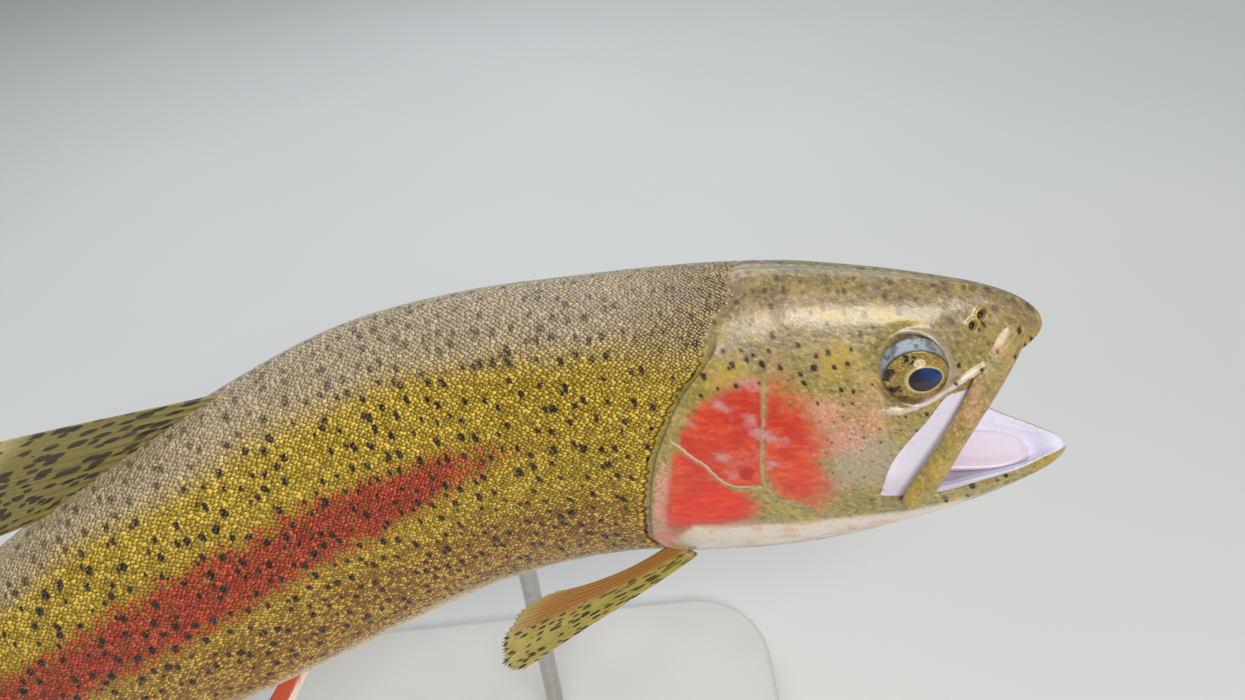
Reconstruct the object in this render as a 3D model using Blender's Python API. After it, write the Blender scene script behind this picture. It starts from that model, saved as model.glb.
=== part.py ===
"""A life-size rainbow trout, still, on a plain two-rod display stand.

The fish is shaped straight, along a body axis, then bent and turned into its pose.
Straight frame: x runs from the snout back to the tail, +y is the fish's right, +z its back.
Heights, widths and places along the body are fractions of the total length.
"""
import math

import bmesh
import bpy
import numpy as np
from mathutils import Vector

# Driving dimensions, in metres and degrees.
TOTAL_LENGTH = 0.50
GAP = 0.0003            # clearance kept between neighbouring pieces
BOARD = (0.28, 0.12, 0.012)
BOARD_CORNER = 0.030
ROD_RADIUS = 0.0032
ROD_DEPTH = 0.014       # how far a rod goes into the belly
FISH_HEIGHT = 0.190     # of the body axis behind the gill opening, over the floor

# Pose: the nose is up, and the body curves to the fish's right, then eases back at the tail.
HEADING = -12.2
PITCH = 17.4
CURVE = (0.245, 0.463, 31.0)
TAIL_EASE = (0.60, 0.92, 24.0)
PIVOT = 0.22            # the place along the body that FISH_HEIGHT measures
BALANCE = 0.42          # the place along the body that stands over the board's centre
ROD_PLACES = (0.345, 0.555)

# Outlines of the body: (place along the body, height or half width).
BACK = ((0, -.006), (.02, .0200), (.05, .035), (.08, .0475), (.12, .0620), (.17, .0725),
        (.22, .0795), (.30, .091), (.38, .098), (.45, .096), (.55, .085), (.65, .067), (.75, .050),
        (.83, .041), (.885, .043))
BELLY = ((0, -.0985), (.01, -.1065), (.035, -.110), (.06, -.1115), (.09, -.1135), (.13, -.1155),
         (.17, -.1135), (.21, -.1085), (.26, -.106), (.38, -.108), (.45, -.105), (.55, -.094),
         (.65, -.073), (.75, -.051), (.83, -.041), (.885, -.043))
HALF_WIDTH = ((0, 0), (.02, .0236), (.05, .038), (.066, .0435), (.09, .0485), (.12, .053),
              (.17, .060), (.21, .062), (.26, .060), (.38, .060), (.45, .056), (.55, .049),
              (.65, .038), (.75, .026), (.83, .017), (.885, .009))
LOW_FULLNESS = ((0, .20), (.10, .27), (.17, .20), (.25, .08), (.50, .05), (.885, 0))
SQUARENESS = ((0, .95), (.10, .92), (.25, .96), (.885, 1))

# The open mouth: lower edge of the upper jaw and cheek, and rim of the lower jaw.
UPPER_EDGE = ((0, -.0085), (.02, -.0135), (.04, -.0135), (.05, -.0155), (.064, -.025),
              (.077, -.034), (.087, -.044), (.0965, -.0605))
LOWER_RIM = ((0, -.0965), (.0236, -.089), (.044, -.0815), (.064, -.0765), (.085, -.069),
             (.0965, -.0615))
MOUTH_CORNER = 0.0965
THROAT_WALL = 0.0985
PALATE_RISE = 0.006
HEAD_END = 0.19
TRUNK_END = 0.66
STALK_END = 0.883

# Gill cover, as seen from the side.
GILL_COVER = ((.152, .046), (.166, .038), (.190, .019), (.207, -.003), (.217, -.030),
              (.2235, -.062), (.214, -.088), (.190, -.101), (.163, -.103), (.150, -.092),
              (.147, -.068), (.1545, -.038), (.146, -.010), (.137, .018), (.140, .041))
GILL_THICKNESS = 0.0026
GILL_PROUD = 0.0004     # how far the cover stands out of the flank

EYE = (.0645, .0240, .0008)
EYE_RADIUS = 0.0094

SINK = 0.006            # how far a fin's root reaches into the body before it is trimmed
ARC = 9                 # points of a ring down a flank to the mouth's level
UNDER = 6               # points from there to the middle underneath


def curve(points):
    """A smooth function through the points that never overshoots, even in the root of place."""
    x = np.sqrt(np.array([p[0] for p in points], float))
    y = np.array([p[1] for p in points], float)
    step, rise = np.diff(x), np.diff(y)
    slope = rise / step
    inner = np.where(slope[1:] * slope[:-1] > 0,
                     2 * slope[1:] * slope[:-1] / (slope[1:] + slope[:-1] + 1e-12), 0)
    tangent = np.concatenate([slope[:1], inner, slope[-1:]])

    def value(u):
        q = np.sqrt(np.clip(np.asarray(u, float), points[0][0], points[-1][0]))
        i = np.clip(np.searchsorted(x, q, side="right") - 1, 0, len(step) - 1)
        t = (q - x[i]) / step[i]
        return (y[i] * (1 + 2 * t) * (1 - t) ** 2 + tangent[i] * step[i] * t * (1 - t) ** 2
                + y[i + 1] * t * t * (3 - 2 * t) + tangent[i + 1] * step[i] * t * t * (t - 1))
    return value


back, belly, half_width = curve(BACK), curve(BELLY), curve(HALF_WIDTH)
low_fullness, squareness = curve(LOW_FULLNESS), curve(SQUARENESS)
upper_edge, lower_rim = curve(UPPER_EDGE), curve(LOWER_RIM)


def ease(x):
    x = np.clip(x, 0, 1)
    return x * x * (3 - 2 * x)


def surface(u, angle):
    """Body surface at a place and an angle, 0 at the back and pi at the belly, on the right side."""
    top, low = back(u), belly(u)
    cos, sin = np.cos(angle), np.sin(angle)
    power = squareness(u)
    z = (top + low) / 2 + (top - low) / 2 * np.sign(cos) * np.abs(cos) ** power
    y = half_width(u) * np.sign(sin) * np.abs(sin) ** power * (1 - low_fullness(u) * cos)
    return np.stack(np.broadcast_arrays(u, y, z), -1)


def angle_at(u, z):
    """The angle at which the body surface has height z."""
    top, low = back(u), belly(u)
    ratio = np.clip((z - (top + low) / 2) / ((top - low) / 2), -1, 1)
    return np.arccos(np.sign(ratio) * np.abs(ratio) ** (1 / squareness(u)))


def outward(u, angle, distance):
    """The surface point moved out along the normal, by a distance in metres."""
    du, da = 1e-4, 1e-3
    along = surface(u + du, angle) - surface(np.maximum(u - du, 1e-6), angle)
    around = surface(u, angle + da) - surface(u, angle - da)
    normal = np.cross(around, along)
    normal /= np.linalg.norm(normal, axis=-1, keepdims=True) + 1e-15
    return surface(u, angle) - normal * distance / TOTAL_LENGTH


def spine():
    """Places along the body axis, their points and the directions there that lead to the tail."""
    u = np.linspace(0, 1.2, 601)
    turn = (CURVE[2] * ease((u - CURVE[0]) / (CURVE[1] - CURVE[0]))
            - TAIL_EASE[2] * ease((u - TAIL_EASE[0]) / (TAIL_EASE[1] - TAIL_EASE[0])))
    turn = np.radians(turn)
    flat = np.stack([-np.cos(turn), -np.sin(turn), 0 * turn], -1)
    yaw, pitch = math.radians(HEADING), math.radians(PITCH)
    heading = np.array([[math.cos(yaw), -math.sin(yaw), 0],
                        [math.sin(yaw), math.cos(yaw), 0], [0, 0, 1]])
    nose_up = np.array([[math.cos(pitch), 0, -math.sin(pitch)], [0, 1, 0],
                        [math.sin(pitch), 0, math.cos(pitch)]])
    rotation = heading @ nose_up
    direction = flat @ rotation.T
    steps = (direction[1:] + direction[:-1]) / 2 * np.diff(u)[:, None] * TOTAL_LENGTH
    centre = np.concatenate([np.zeros((1, 3)), np.cumsum(steps, 0)])
    over_board = np.array([np.interp(BALANCE, u, centre[:, k]) for k in range(2)])
    height = np.interp(PIVOT, u, centre[:, 2])
    centre -= np.array([*over_board, height - FISH_HEIGHT])
    return u, centre, direction, rotation @ np.array([0, 0, 1.0])


SPINE = spine()


def posed(points):
    """Straight-frame points, as fractions of the length, bent into the pose, in metres."""
    u, centre, direction, up = SPINE
    points = np.asarray(points, float)
    at = np.clip(points[..., 0], 0, None)
    middle = np.stack([np.interp(at, u, centre[:, k]) for k in range(3)], -1)
    back_way = np.stack([np.interp(at, u, direction[:, k]) for k in range(3)], -1)
    back_way /= np.linalg.norm(back_way, axis=-1, keepdims=True)
    side = np.cross(up, back_way)
    ahead = np.minimum(points[..., 0], 0)
    return (middle + back_way * (ahead * TOTAL_LENGTH)[..., None]
            + side * (points[..., 1] * TOTAL_LENGTH)[..., None]
            + up * (points[..., 2] * TOTAL_LENGTH)[..., None])


def material(name, colour, roughness, metallic=0.0):
    made = bpy.data.materials.new(name)
    made.use_nodes = True
    shader = made.node_tree.nodes["Principled BSDF"]
    shader.inputs["Base Color"].default_value = (*colour, 1)
    shader.inputs["Roughness"].default_value = roughness
    shader.inputs["Metallic"].default_value = metallic
    return made


def mesh_object(name, points, faces):
    """An object whose mesh has its faces turned outwards."""
    mesh = bpy.data.meshes.new(name)
    mesh.from_pydata([tuple(p) for p in points], [], faces)
    shape = bmesh.new()
    shape.from_mesh(mesh)
    bmesh.ops.remove_doubles(shape, verts=shape.verts, dist=1e-7)
    bmesh.ops.dissolve_degenerate(shape, edges=shape.edges, dist=1e-7)
    bmesh.ops.recalc_face_normals(shape, faces=shape.faces)
    shape.to_mesh(mesh)
    shape.free()
    made = bpy.data.objects.new(name, mesh)
    bpy.context.scene.collection.objects.link(made)
    return made


def loft(name, rings):
    """A closed body through rings with the same number of points, capped at both ends."""
    rings = np.asarray(rings, float)
    count, size = rings.shape[:2]
    faces = [(i * size + j, i * size + (j + 1) % size,
              (i + 1) * size + (j + 1) % size, (i + 1) * size + j)
             for i in range(count - 1) for j in range(size)]
    points = list(rings.reshape(-1, 3))
    for ring, order in ((0, 1), (count - 1, -1)):
        middle = len(points)
        points.append(rings[ring].mean(0))
        faces += [(middle, ring * size + j, ring * size + (j + 1) % size)[::order]
                  for j in range(size)]
    return mesh_object(name, points, faces)


def applied(item):
    """Turns an object's modifiers into mesh."""
    bpy.context.view_layer.update()
    evaluated = item.evaluated_get(bpy.context.evaluated_depsgraph_get())
    mesh = bpy.data.meshes.new_from_object(evaluated)
    item.modifiers.clear()
    item.data = mesh
    return item


def cut(item, cutter, operation="DIFFERENCE"):
    modifier = item.modifiers.new("Cut", "BOOLEAN")
    modifier.object = cutter
    modifier.operation = operation
    applied(item)


def discard(item):
    bpy.data.objects.remove(item, do_unlink=True)


def finish(item, paint, pose=True):
    """Tidies a piece, bends it into the pose, shades it smooth and gives it its material."""
    shape = bmesh.new()
    shape.from_mesh(item.data)
    bmesh.ops.remove_doubles(shape, verts=shape.verts, dist=2e-5 if pose else 1e-6)
    bmesh.ops.triangulate(shape, faces=shape.faces)
    if pose:
        placed = posed([v.co for v in shape.verts])
        for vert, point in zip(shape.verts, placed):
            vert.co = point
    shape.to_mesh(item.data)
    shape.free()
    item.data.shade_smooth()
    item.data.set_sharp_from_angle(angle=math.radians(40))
    item.data.materials.clear()
    item.data.materials.append(paint)
    return item


def mirrored(points):
    return np.asarray(points) * np.array([1, -1, 1])


def full_ring(half):
    """A closed ring from a half ring that runs from the back to the belly on the right side."""
    half = np.asarray(half)
    return np.concatenate([half, mirrored(half[-2:0:-1])])


def body_ring(u, seam, grow=0.0):
    """The body's ring at a place, with one of its points at the height of the seam."""
    turn = angle_at(u, seam)
    angles = np.concatenate([np.linspace(0, turn, ARC), np.linspace(turn, math.pi, UNDER + 1)[1:]])
    return full_ring(outward(np.full(len(angles), u), angles, grow))


def palate_ring(u, grow=0.0):
    """The upper jaw's ring: the flank down to the mouth's edge, and the arched palate inside it."""
    turn = angle_at(u, upper_edge(u))
    outer = outward(np.full(ARC, u), np.linspace(0, turn, ARC), grow)
    outer[-1, 2] -= grow / TOTAL_LENGTH
    edge = surface(u, turn)
    inward = np.linspace(1, 0, UNDER + 1)[1:]
    rise = PALATE_RISE * ease(u / .05)
    inner = np.stack([np.full(UNDER, u), edge[1] * .93 * inward,
                      edge[2] + rise * (1 - inward ** 2) - grow / TOTAL_LENGTH], -1)
    return full_ring(np.concatenate([outer, inner]))


def jaw_ring(u, grow=0.0):
    """The lower jaw's ring: the trough inside the rim, then the outside down to the chin."""
    turn = angle_at(u, lower_rim(u))
    outer = outward(np.full(UNDER, u), np.linspace(turn, math.pi, UNDER), grow)
    rim = surface(u, turn)
    depth = (rim[2] - belly(u)) * .55 * ease(u / .02)
    width = np.linspace(0, .84, UNDER)
    inner = np.stack([np.full(UNDER, u), np.maximum(rim[1] * width - grow / TOTAL_LENGTH, 0),
                      rim[2] - depth * (1 - (width / .84) ** 3) + grow / TOTAL_LENGTH], -1)
    return full_ring(np.concatenate([inner, outer]))


def seam_height(u):
    """Height of the line that runs back from the mouth's corner and fades to the mid flank."""
    start = upper_edge(MOUTH_CORNER)
    return start + (0 - start) * ease((u - MOUTH_CORNER) / (.24 - MOUTH_CORNER)) * .8


def head_shape(name, grow=0.0):
    front = [.0006, .004, .010, .020, .032, .045, .058, .070, .082, .091, MOUTH_CORNER]
    rear = [THROAT_WALL, .118, .134, .150, .170, HEAD_END]
    rings = [palate_ring(u, grow) for u in front]
    rings += [body_ring(u, seam_height(u), grow) for u in rear]
    return loft(name, rings)


def jaw_shape(name, grow=0.0):
    places = [.0004, .004, .011, .022, .036, .050, .064, .080, MOUTH_CORNER - GAP / TOTAL_LENGTH]
    return loft(name, [jaw_ring(u, grow) for u in places])


def length_shape(name, start, end, count, grow=0.0):
    """A length of the body between two flat cuts."""
    return loft(name, [body_ring(u, seam_height(u), grow) for u in np.linspace(start, end, count)])


def closed_curve(points, per_side=2):
    """A smooth closed outline through the points."""
    points = np.asarray(points, float)
    made = []
    for i in range(len(points)):
        before, start, end, after = (points[(i + k) % len(points)] for k in (-1, 0, 1, 2))
        for t in np.arange(per_side) / per_side:
            made.append(.5 * (2 * start + (end - before) * t
                              + (2 * before - 5 * start + 4 * end - after) * t ** 2
                              + (3 * start - before - 3 * end + after) * t ** 3))
    return np.array(made)


def shell_plate(name, outline, outer, inner, grow, side):
    """A curved plate on the body's side: the outline filled at two distances from the surface."""
    outline = closed_curve(outline)
    ahead = np.roll(outline, -1, 0) - np.roll(outline, 1, 0)
    normal = np.stack([ahead[:, 1], -ahead[:, 0]], -1)
    normal /= np.linalg.norm(normal, axis=1, keepdims=True)
    middle = outline.mean(0)
    if np.sum(normal * (outline - middle)) < 0:
        normal = -normal
    outline = outline + normal * grow / TOTAL_LENGTH
    size = len(outline)
    points, faces = [], []
    for sheet, distance in enumerate((outer, inner)):
        start = len(points)
        points.append(outward(middle[0], angle_at(*middle), distance))
        for share in (.4, .75, 1):
            flat = middle + (outline - middle) * share
            points += list(outward(flat[:, 0], angle_at(flat[:, 0], flat[:, 1]), distance))
        faces += [(start, start + 1 + j, start + 1 + (j + 1) % size) for j in range(size)]
        faces += [(start + 1 + k * size + j, start + 1 + (k + 1) * size + j,
                   start + 1 + (k + 1) * size + (j + 1) % size, start + 1 + k * size + (j + 1) % size)
                  for k in range(2) for j in range(size)]
    rim, sheet_size = 1 + 2 * size, 1 + 3 * size
    faces += [(rim + j, rim + (j + 1) % size, rim + sheet_size + (j + 1) % size,
               rim + sheet_size + j) for j in range(size)]
    return mesh_object(name, np.array(points) * np.array([1, side, 1]), faces)


def sheet_body(name, middle, thickness):
    """A closed thin body: a grid of points given half its thickness to each side."""
    middle = np.asarray(middle, float)
    rows, columns = middle.shape[:2]
    down = np.gradient(middle, axis=0)
    across = np.gradient(middle, axis=1)
    normal = np.cross(down, across)
    normal /= np.linalg.norm(normal, axis=-1, keepdims=True) + 1e-15
    half = np.broadcast_to(thickness, (rows, columns))[..., None] / TOTAL_LENGTH / 2
    points = np.concatenate([(middle + normal * half).reshape(-1, 3),
                             (middle - normal * half).reshape(-1, 3)])
    other = rows * columns

    def at(i, j):
        return i * columns + j

    faces = []
    for i in range(rows - 1):
        for j in range(columns - 1):
            quad = (at(i, j), at(i, j + 1), at(i + 1, j + 1), at(i + 1, j))
            faces += [quad, tuple(other + k for k in reversed(quad))]
    rim = ([at(0, j) for j in range(columns)] + [at(i, columns - 1) for i in range(1, rows)]
           + [at(rows - 1, j) for j in range(columns - 2, -1, -1)]
           + [at(i, 0) for i in range(rows - 2, 0, -1)])
    faces += [(rim[k], other + rim[k], other + rim[(k + 1) % len(rim)], rim[(k + 1) % len(rim)])
              for k in range(len(rim))]
    return mesh_object(name, points, faces)


def fin_sheet(roots, tips, bow, rows=7, columns=9, edge=0.0007, root=0.0024):
    """The grid and thickness of a fin whose rays run from the roots to the tips and bow sideways."""
    share = np.linspace(0, 1, columns)
    out = np.linspace(0, 1, rows)[:, None, None]
    start = np.stack([np.interp(share, np.linspace(0, 1, len(roots)), np.asarray(roots)[:, k])
                      for k in range(3)], -1)
    fine = np.stack([smooth_between(np.asarray(tips)[:, k], share) for k in range(3)], -1)
    grid = start + (fine - start) * out + np.asarray(bow) * (out * (1 - out) * 4)
    thick = root + (edge - root) * np.linspace(0, 1, rows) ** .7
    return grid, thick[:, None]


def smooth_between(values, share):
    """Values at even steps, read with a smooth curve through them."""
    count = len(values) - 1
    padded = np.concatenate([[2 * values[0] - values[1]], values, [2 * values[-1] - values[-2]]])
    place = np.clip(share * count, 0, count - 1e-9)
    i = place.astype(int)
    t = place - i
    before, start, end, after = padded[i], padded[i + 1], padded[i + 2], padded[i + 3]
    return .5 * (2 * start + (end - before) * t + (2 * before - 5 * start + 4 * end - after) * t ** 2
                 + (3 * start - before - 3 * end + after) * t ** 3)


def fan(roots, angles, lengths, lean=0.0):
    """Tips of rays in the middle plane; an angle is measured up from straight back."""
    tips = []
    for (u, y, z), angle, length in zip(roots, angles, lengths):
        tips.append((u + length * math.cos(math.radians(angle)), y + lean * length,
                     z + length * math.sin(math.radians(angle))))
    return tips


def median_fin(name, places, edge_height, sink, angles, lengths, lean=0.0, **size):
    roots = [(u, 0, float(edge_height(u)) - sink) for u in np.linspace(*places, len(angles))]
    grid, thick = fin_sheet(roots, fan(roots, angles, lengths, lean), (0, 0, 0), **size)
    return sheet_body(name, grid, thick)


def dorsal_fin():
    return median_fin("dorsal_fin", (.426, .545), back, SINK, (21, 19, 16, 13, 11),
                      (.128, .122, .104, .082, .060), lean=.05, columns=10)


def adipose_fin():
    return median_fin("adipose_fin", (.708, .728), back, SINK, (42, 34, 28),
                      (.046, .048, .034), rows=5, columns=5, edge=.0012, root=.0032)


def anal_fin():
    return median_fin("anal_fin", (.668, .748), belly, -SINK, (-58, -50, -42, -34, -26),
                      (.104, .098, .082, .064, .050), columns=9)


def caudal_fin():
    heights = np.linspace(.040, -.041, 9)
    roots = [(.874 - .006 * abs(z) / .04, 0, z) for z in heights]
    angles = np.linspace(28, -28, 9)
    lengths = [.146, .143, .133, .124, .120, .124, .133, .143, .146]
    grid, thick = fin_sheet(roots, fan(roots, angles, lengths), (0, 0, 0), rows=8, columns=15,
                            root=.0034)
    return sheet_body("caudal_fin", grid, thick)


def paired_fin(name, roots, tips, bow, side, **size):
    grid, thick = fin_sheet(roots, tips, bow, **size)
    return sheet_body(name, grid * np.array([1, side, 1]), thick)


def pectoral_fin(name, side):
    roots = [(.2105, .046, -.091), (.216, .046, -.086), (.222, .044, -.080)]
    tips = [(.360, .092, -.114), (.366, .086, -.107), (.357, .078, -.098), (.338, .069, -.090),
            (.312, .063, -.083)]
    return paired_fin(name, roots, tips, (0, .004, -.006), side, columns=9)


def pelvic_fin(name, side):
    roots = [(.496, .020, -.091), (.506, .018, -.091), (.516, .016, -.090)]
    tips = [(.582, .046, -.139), (.593, .042, -.136), (.596, .037, -.130), (.589, .031, -.123),
            (.576, .026, -.116)]
    return paired_fin(name, roots, tips, (0, .002, -.002), side, columns=8)


def maxilla(name, side):
    """The strap of bone along the side of the gape, with a rounded lower end."""
    line = np.array([(.0215, .0205, -.0095), (.0380, .0305, -.0255), (.0545, .0402, -.0420),
                     (.0710, .0487, -.0585), (.0850, .0530, -.0715)])
    count = 10
    share = np.linspace(0, 1, count)
    middle = np.stack([smooth_between(line[:, k], share) for k in range(3)], -1)
    along = np.gradient(middle, axis=0)
    across = np.cross(along, np.array([0, 1, 0]))
    across /= np.linalg.norm(across, axis=1, keepdims=True)
    width = .0078 * np.sqrt(np.clip(1 - np.clip((share - .82) / .2, 0, 1) ** 2, .04, 1))
    offset = np.linspace(-1, 1, 5)[None, :, None] * width[:, None, None]
    bulge = (1 - np.linspace(-1, 1, 5) ** 2)[None, :, None] * np.array([0, .0016, 0])
    grid = middle[:, None] + across[:, None] * offset + bulge
    return sheet_body(name, grid * np.array([1, side, 1]), .0018)


def mouth_web(name, side):
    """The fold of skin at the corner of the mouth, between the cheek and the maxilla."""
    share = np.linspace(0, 1, 7)
    places = .046 + (.0945 - .046) * share
    cheek = surface(places, angle_at(places, upper_edge(places)))
    cheek = cheek + np.array([-.0008, -.0060, -.0014])
    front = np.stack([.044 + .040 * share, .0255 + .0185 * share, -.021 - .047 * share ** 1.1], -1)
    out = np.linspace(0, 1, 4)[:, None, None]
    grid = cheek * (1 - out) + front * out
    return sheet_body(name, grid * np.array([1, side, 1]), .0012)


def tongue_shape():
    """A flat tongue lying in the trough of the lower jaw."""
    rings = []
    for u in np.linspace(.018, .092, 9):
        share = (u - .018) / .074
        wide = .0155 * math.sqrt(max(1 - (1 - share / .35) ** 2, 0) if share < .35 else 1) + .0015
        wide = min(wide, .0105 + .016 * share)
        middle = -.0965 + .0165 * share
        angles = np.linspace(0, 2 * math.pi, 12, endpoint=False)
        rings.append(np.stack([np.full(12, u), wide * np.sin(angles),
                               middle + .0042 * np.cos(angles)], -1))
    return loft("tongue", rings)


def eye_shape(name, side, grow=0.0):
    shape = bmesh.new()
    bmesh.ops.create_uvsphere(shape, u_segments=18, v_segments=12,
                              radius=(EYE_RADIUS + grow) / TOTAL_LENGTH)
    centre = Vector((EYE[0], EYE[1] * side, EYE[2]))
    bmesh.ops.rotate(shape, verts=shape.verts, matrix=Vector((0, 1, 0)).rotation_difference(
        Vector((0, 0, 1))).to_matrix())
    bmesh.ops.translate(shape, verts=shape.verts, vec=centre)
    points = [v.co.copy() for v in shape.verts]
    faces = [[v.index for v in f.verts] for f in shape.faces]
    shape.free()
    return mesh_object(name, points, faces)


def cylinder(name, radius, low, high, at, sides=16):
    shape = bmesh.new()
    bmesh.ops.create_cone(shape, cap_ends=True, segments=sides, radius1=radius, radius2=radius,
                          depth=high - low)
    bmesh.ops.translate(shape, verts=shape.verts, vec=(at[0], at[1], (low + high) / 2))
    mesh = bpy.data.meshes.new(name)
    shape.to_mesh(mesh)
    shape.free()
    made = bpy.data.objects.new(name, mesh)
    bpy.context.scene.collection.objects.link(made)
    return made


def board(paint):
    """The flat board on the floor, with round corners and an eased top edge."""
    length, width, height = BOARD
    points, steps = [], 7
    for corner in range(4):
        middle = ((length / 2 - BOARD_CORNER) * (1, -1, -1, 1)[corner],
                  (width / 2 - BOARD_CORNER) * (1, 1, -1, -1)[corner])
        for step in range(steps):
            turn = math.radians(90 * corner + 90 * step / (steps - 1))
            points.append((middle[0] + BOARD_CORNER * math.cos(turn),
                           middle[1] + BOARD_CORNER * math.sin(turn), 0))
    shape = bmesh.new()
    face = shape.faces.new([shape.verts.new(p) for p in points])
    raised = bmesh.ops.extrude_face_region(shape, geom=[face])
    top = [v for v in raised["geom"] if isinstance(v, bmesh.types.BMVert)]
    bmesh.ops.translate(shape, verts=top, vec=(0, 0, height))
    edges = [e for e in shape.edges if all(v in top for v in e.verts)]
    bmesh.ops.bevel(shape, geom=edges, offset=.002, segments=2, profile=.5, affect="EDGES")
    bmesh.ops.recalc_face_normals(shape, faces=shape.faces)
    mesh = bpy.data.meshes.new("stand_base")
    shape.to_mesh(mesh)
    shape.free()
    made = bpy.data.objects.new("stand_base", mesh)
    bpy.context.scene.collection.objects.link(made)
    return finish(made, paint, pose=False)


def clear_scene():
    for item in list(bpy.data.objects):
        bpy.data.objects.remove(item, do_unlink=True)


def build_fish(paints):
    """Every piece of the fish, trimmed to its neighbours and posed."""
    sides = (("right", 1), ("left", -1))
    head = head_shape("head")
    jaw = jaw_shape("lower_jaw")
    trunk = length_shape("trunk", HEAD_END + GAP / TOTAL_LENGTH, TRUNK_END, 18)
    stalk = length_shape("tail_stalk", TRUNK_END + GAP / TOTAL_LENGTH, STALK_END, 10)
    grown_head = head_shape("grown_head", 2 * GAP)
    grown_jaw = jaw_shape("grown_jaw", 2 * GAP)
    grown_body = length_shape("grown_body", HEAD_END, STALK_END + GAP / TOTAL_LENGTH, 30, GAP)
    grown_trunk = length_shape("grown_trunk", .194, .62, 19, GAP)

    for label, side in sides:
        recess = shell_plate("recess", GILL_COVER, .006, -GILL_THICKNESS - GAP, GAP, side)
        cut(head, recess)
        cut(trunk, recess)
        discard(recess)
        cover = shell_plate("gill_cover_" + label, GILL_COVER, GILL_PROUD, -GILL_THICKNESS, 0, side)
        finish(cover, paints["gill cover"])
        shield = shell_plate("shield", GILL_COVER, GILL_PROUD + GAP, -.006, 2 * GAP, side)
        socket = eye_shape("socket", side, GAP)
        cut(head, socket)
        discard(socket)
        finish(eye_shape("eye_" + label, side), paints["eye"])
        strap = maxilla("maxilla_" + label, side)
        cut(strap, grown_head)
        cut(strap, grown_jaw)
        finish(strap, paints["jaw skin"])
        web = mouth_web("mouth_web_" + label, side)
        cut(web, grown_head)
        cut(web, grown_jaw)
        finish(web, paints["mouth lining"])
        for make, prefix in ((pectoral_fin, "pectoral_fin_"), (pelvic_fin, "pelvic_fin_")):
            fin = make(prefix + label, side)
            cut(fin, grown_trunk)
            cut(fin, shield)
            finish(fin, paints["fin"])
        discard(shield)
    tongue = tongue_shape()
    cut(tongue, grown_head)
    cut(tongue, grown_jaw)
    finish(tongue, paints["mouth lining"])
    for make in (dorsal_fin, adipose_fin, anal_fin, caudal_fin):
        fin = make()
        cut(fin, grown_body)
        finish(fin, paints["fin"])
    for helper in (grown_head, grown_jaw, grown_body, grown_trunk):
        discard(helper)
    finish(head, paints["head skin"])
    finish(jaw, paints["jaw skin"])
    finish(stalk, paints["flank"])
    return finish(trunk, paints["flank"])


def build_stand(trunk, paints):
    """The board, and two upright rods that stand in it and in sockets under the belly."""
    for label, place in zip(("front", "rear"), ROD_PLACES):
        low = posed([place, 0, float(belly(place))])
        top = low[2] + ROD_DEPTH
        hole = cylinder("hole", ROD_RADIUS + GAP, low[2] - .03, top + GAP, low)
        cut(trunk, hole)
        discard(hole)
        rod = cylinder("stand_rod_" + label, ROD_RADIUS, BOARD[2] + GAP, top, low)
        finish(rod, paints["rod"], pose=False)
    finish(trunk, paints["flank"], pose=False)
    board(paints["board"])


def main():
    clear_scene()
    paints = {
        "head skin": material("head_skin", (.30, .26, .14), .35),
        "gill cover": material("gill_cover", (.62, .10, .05), .35),
        "jaw skin": material("jaw_skin", (.42, .33, .14), .35),
        "mouth lining": material("mouth_lining", (.78, .66, .68), .4),
        "eye": material("eye", (.02, .03, .05), .08),
        "flank": material("flank", (.30, .27, .08), .35),
        "fin": material("fin", (.32, .26, .10), .4),
        "rod": material("rod", (.6, .6, .6), .3, 1.0),
        "board": material("board", (.75, .75, .73), .5),
    }
    trunk = build_fish(paints)
    build_stand(trunk, paints)


main()
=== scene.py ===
"""Looks of the rainbow trout display model: skin, scales, eyes, teeth, fins, stand and studio.

The fish is shaped straight, then bent into its pose. In the straight frame x runs from the snout
to the tail, +y is the fish's right and +z its back, all as fractions of the total length.
"""

import math

import bmesh
import bpy
import numpy as np
from bpy.props import FloatProperty, FloatVectorProperty, PointerProperty
from mathutils import Matrix, Vector


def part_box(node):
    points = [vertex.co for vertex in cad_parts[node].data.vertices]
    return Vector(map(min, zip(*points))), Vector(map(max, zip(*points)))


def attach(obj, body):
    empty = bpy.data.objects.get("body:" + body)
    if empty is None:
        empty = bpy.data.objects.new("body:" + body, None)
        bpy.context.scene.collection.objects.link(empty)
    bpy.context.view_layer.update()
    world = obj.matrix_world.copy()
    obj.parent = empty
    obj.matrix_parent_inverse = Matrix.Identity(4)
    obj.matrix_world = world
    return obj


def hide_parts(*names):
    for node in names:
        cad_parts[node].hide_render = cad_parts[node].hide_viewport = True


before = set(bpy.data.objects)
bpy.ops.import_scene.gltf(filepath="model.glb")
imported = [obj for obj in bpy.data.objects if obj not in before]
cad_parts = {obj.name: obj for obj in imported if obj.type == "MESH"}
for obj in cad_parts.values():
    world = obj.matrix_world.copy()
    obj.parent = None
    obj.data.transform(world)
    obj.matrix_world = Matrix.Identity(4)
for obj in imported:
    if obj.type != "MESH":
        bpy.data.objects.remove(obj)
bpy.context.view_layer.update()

bl_info = {
    "name": "Rainbow trout",
    "version": (1, 0, 0),
    "blender": (4, 5, 0),
    "location": "View3D > Sidebar > Trout",
    "description": "Builds the skin, scales, fins and eyes of a rainbow trout display model",
    "category": "Add Mesh",
}

# ---- The body's form, as the solids have it -------------------------------------------------

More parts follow.
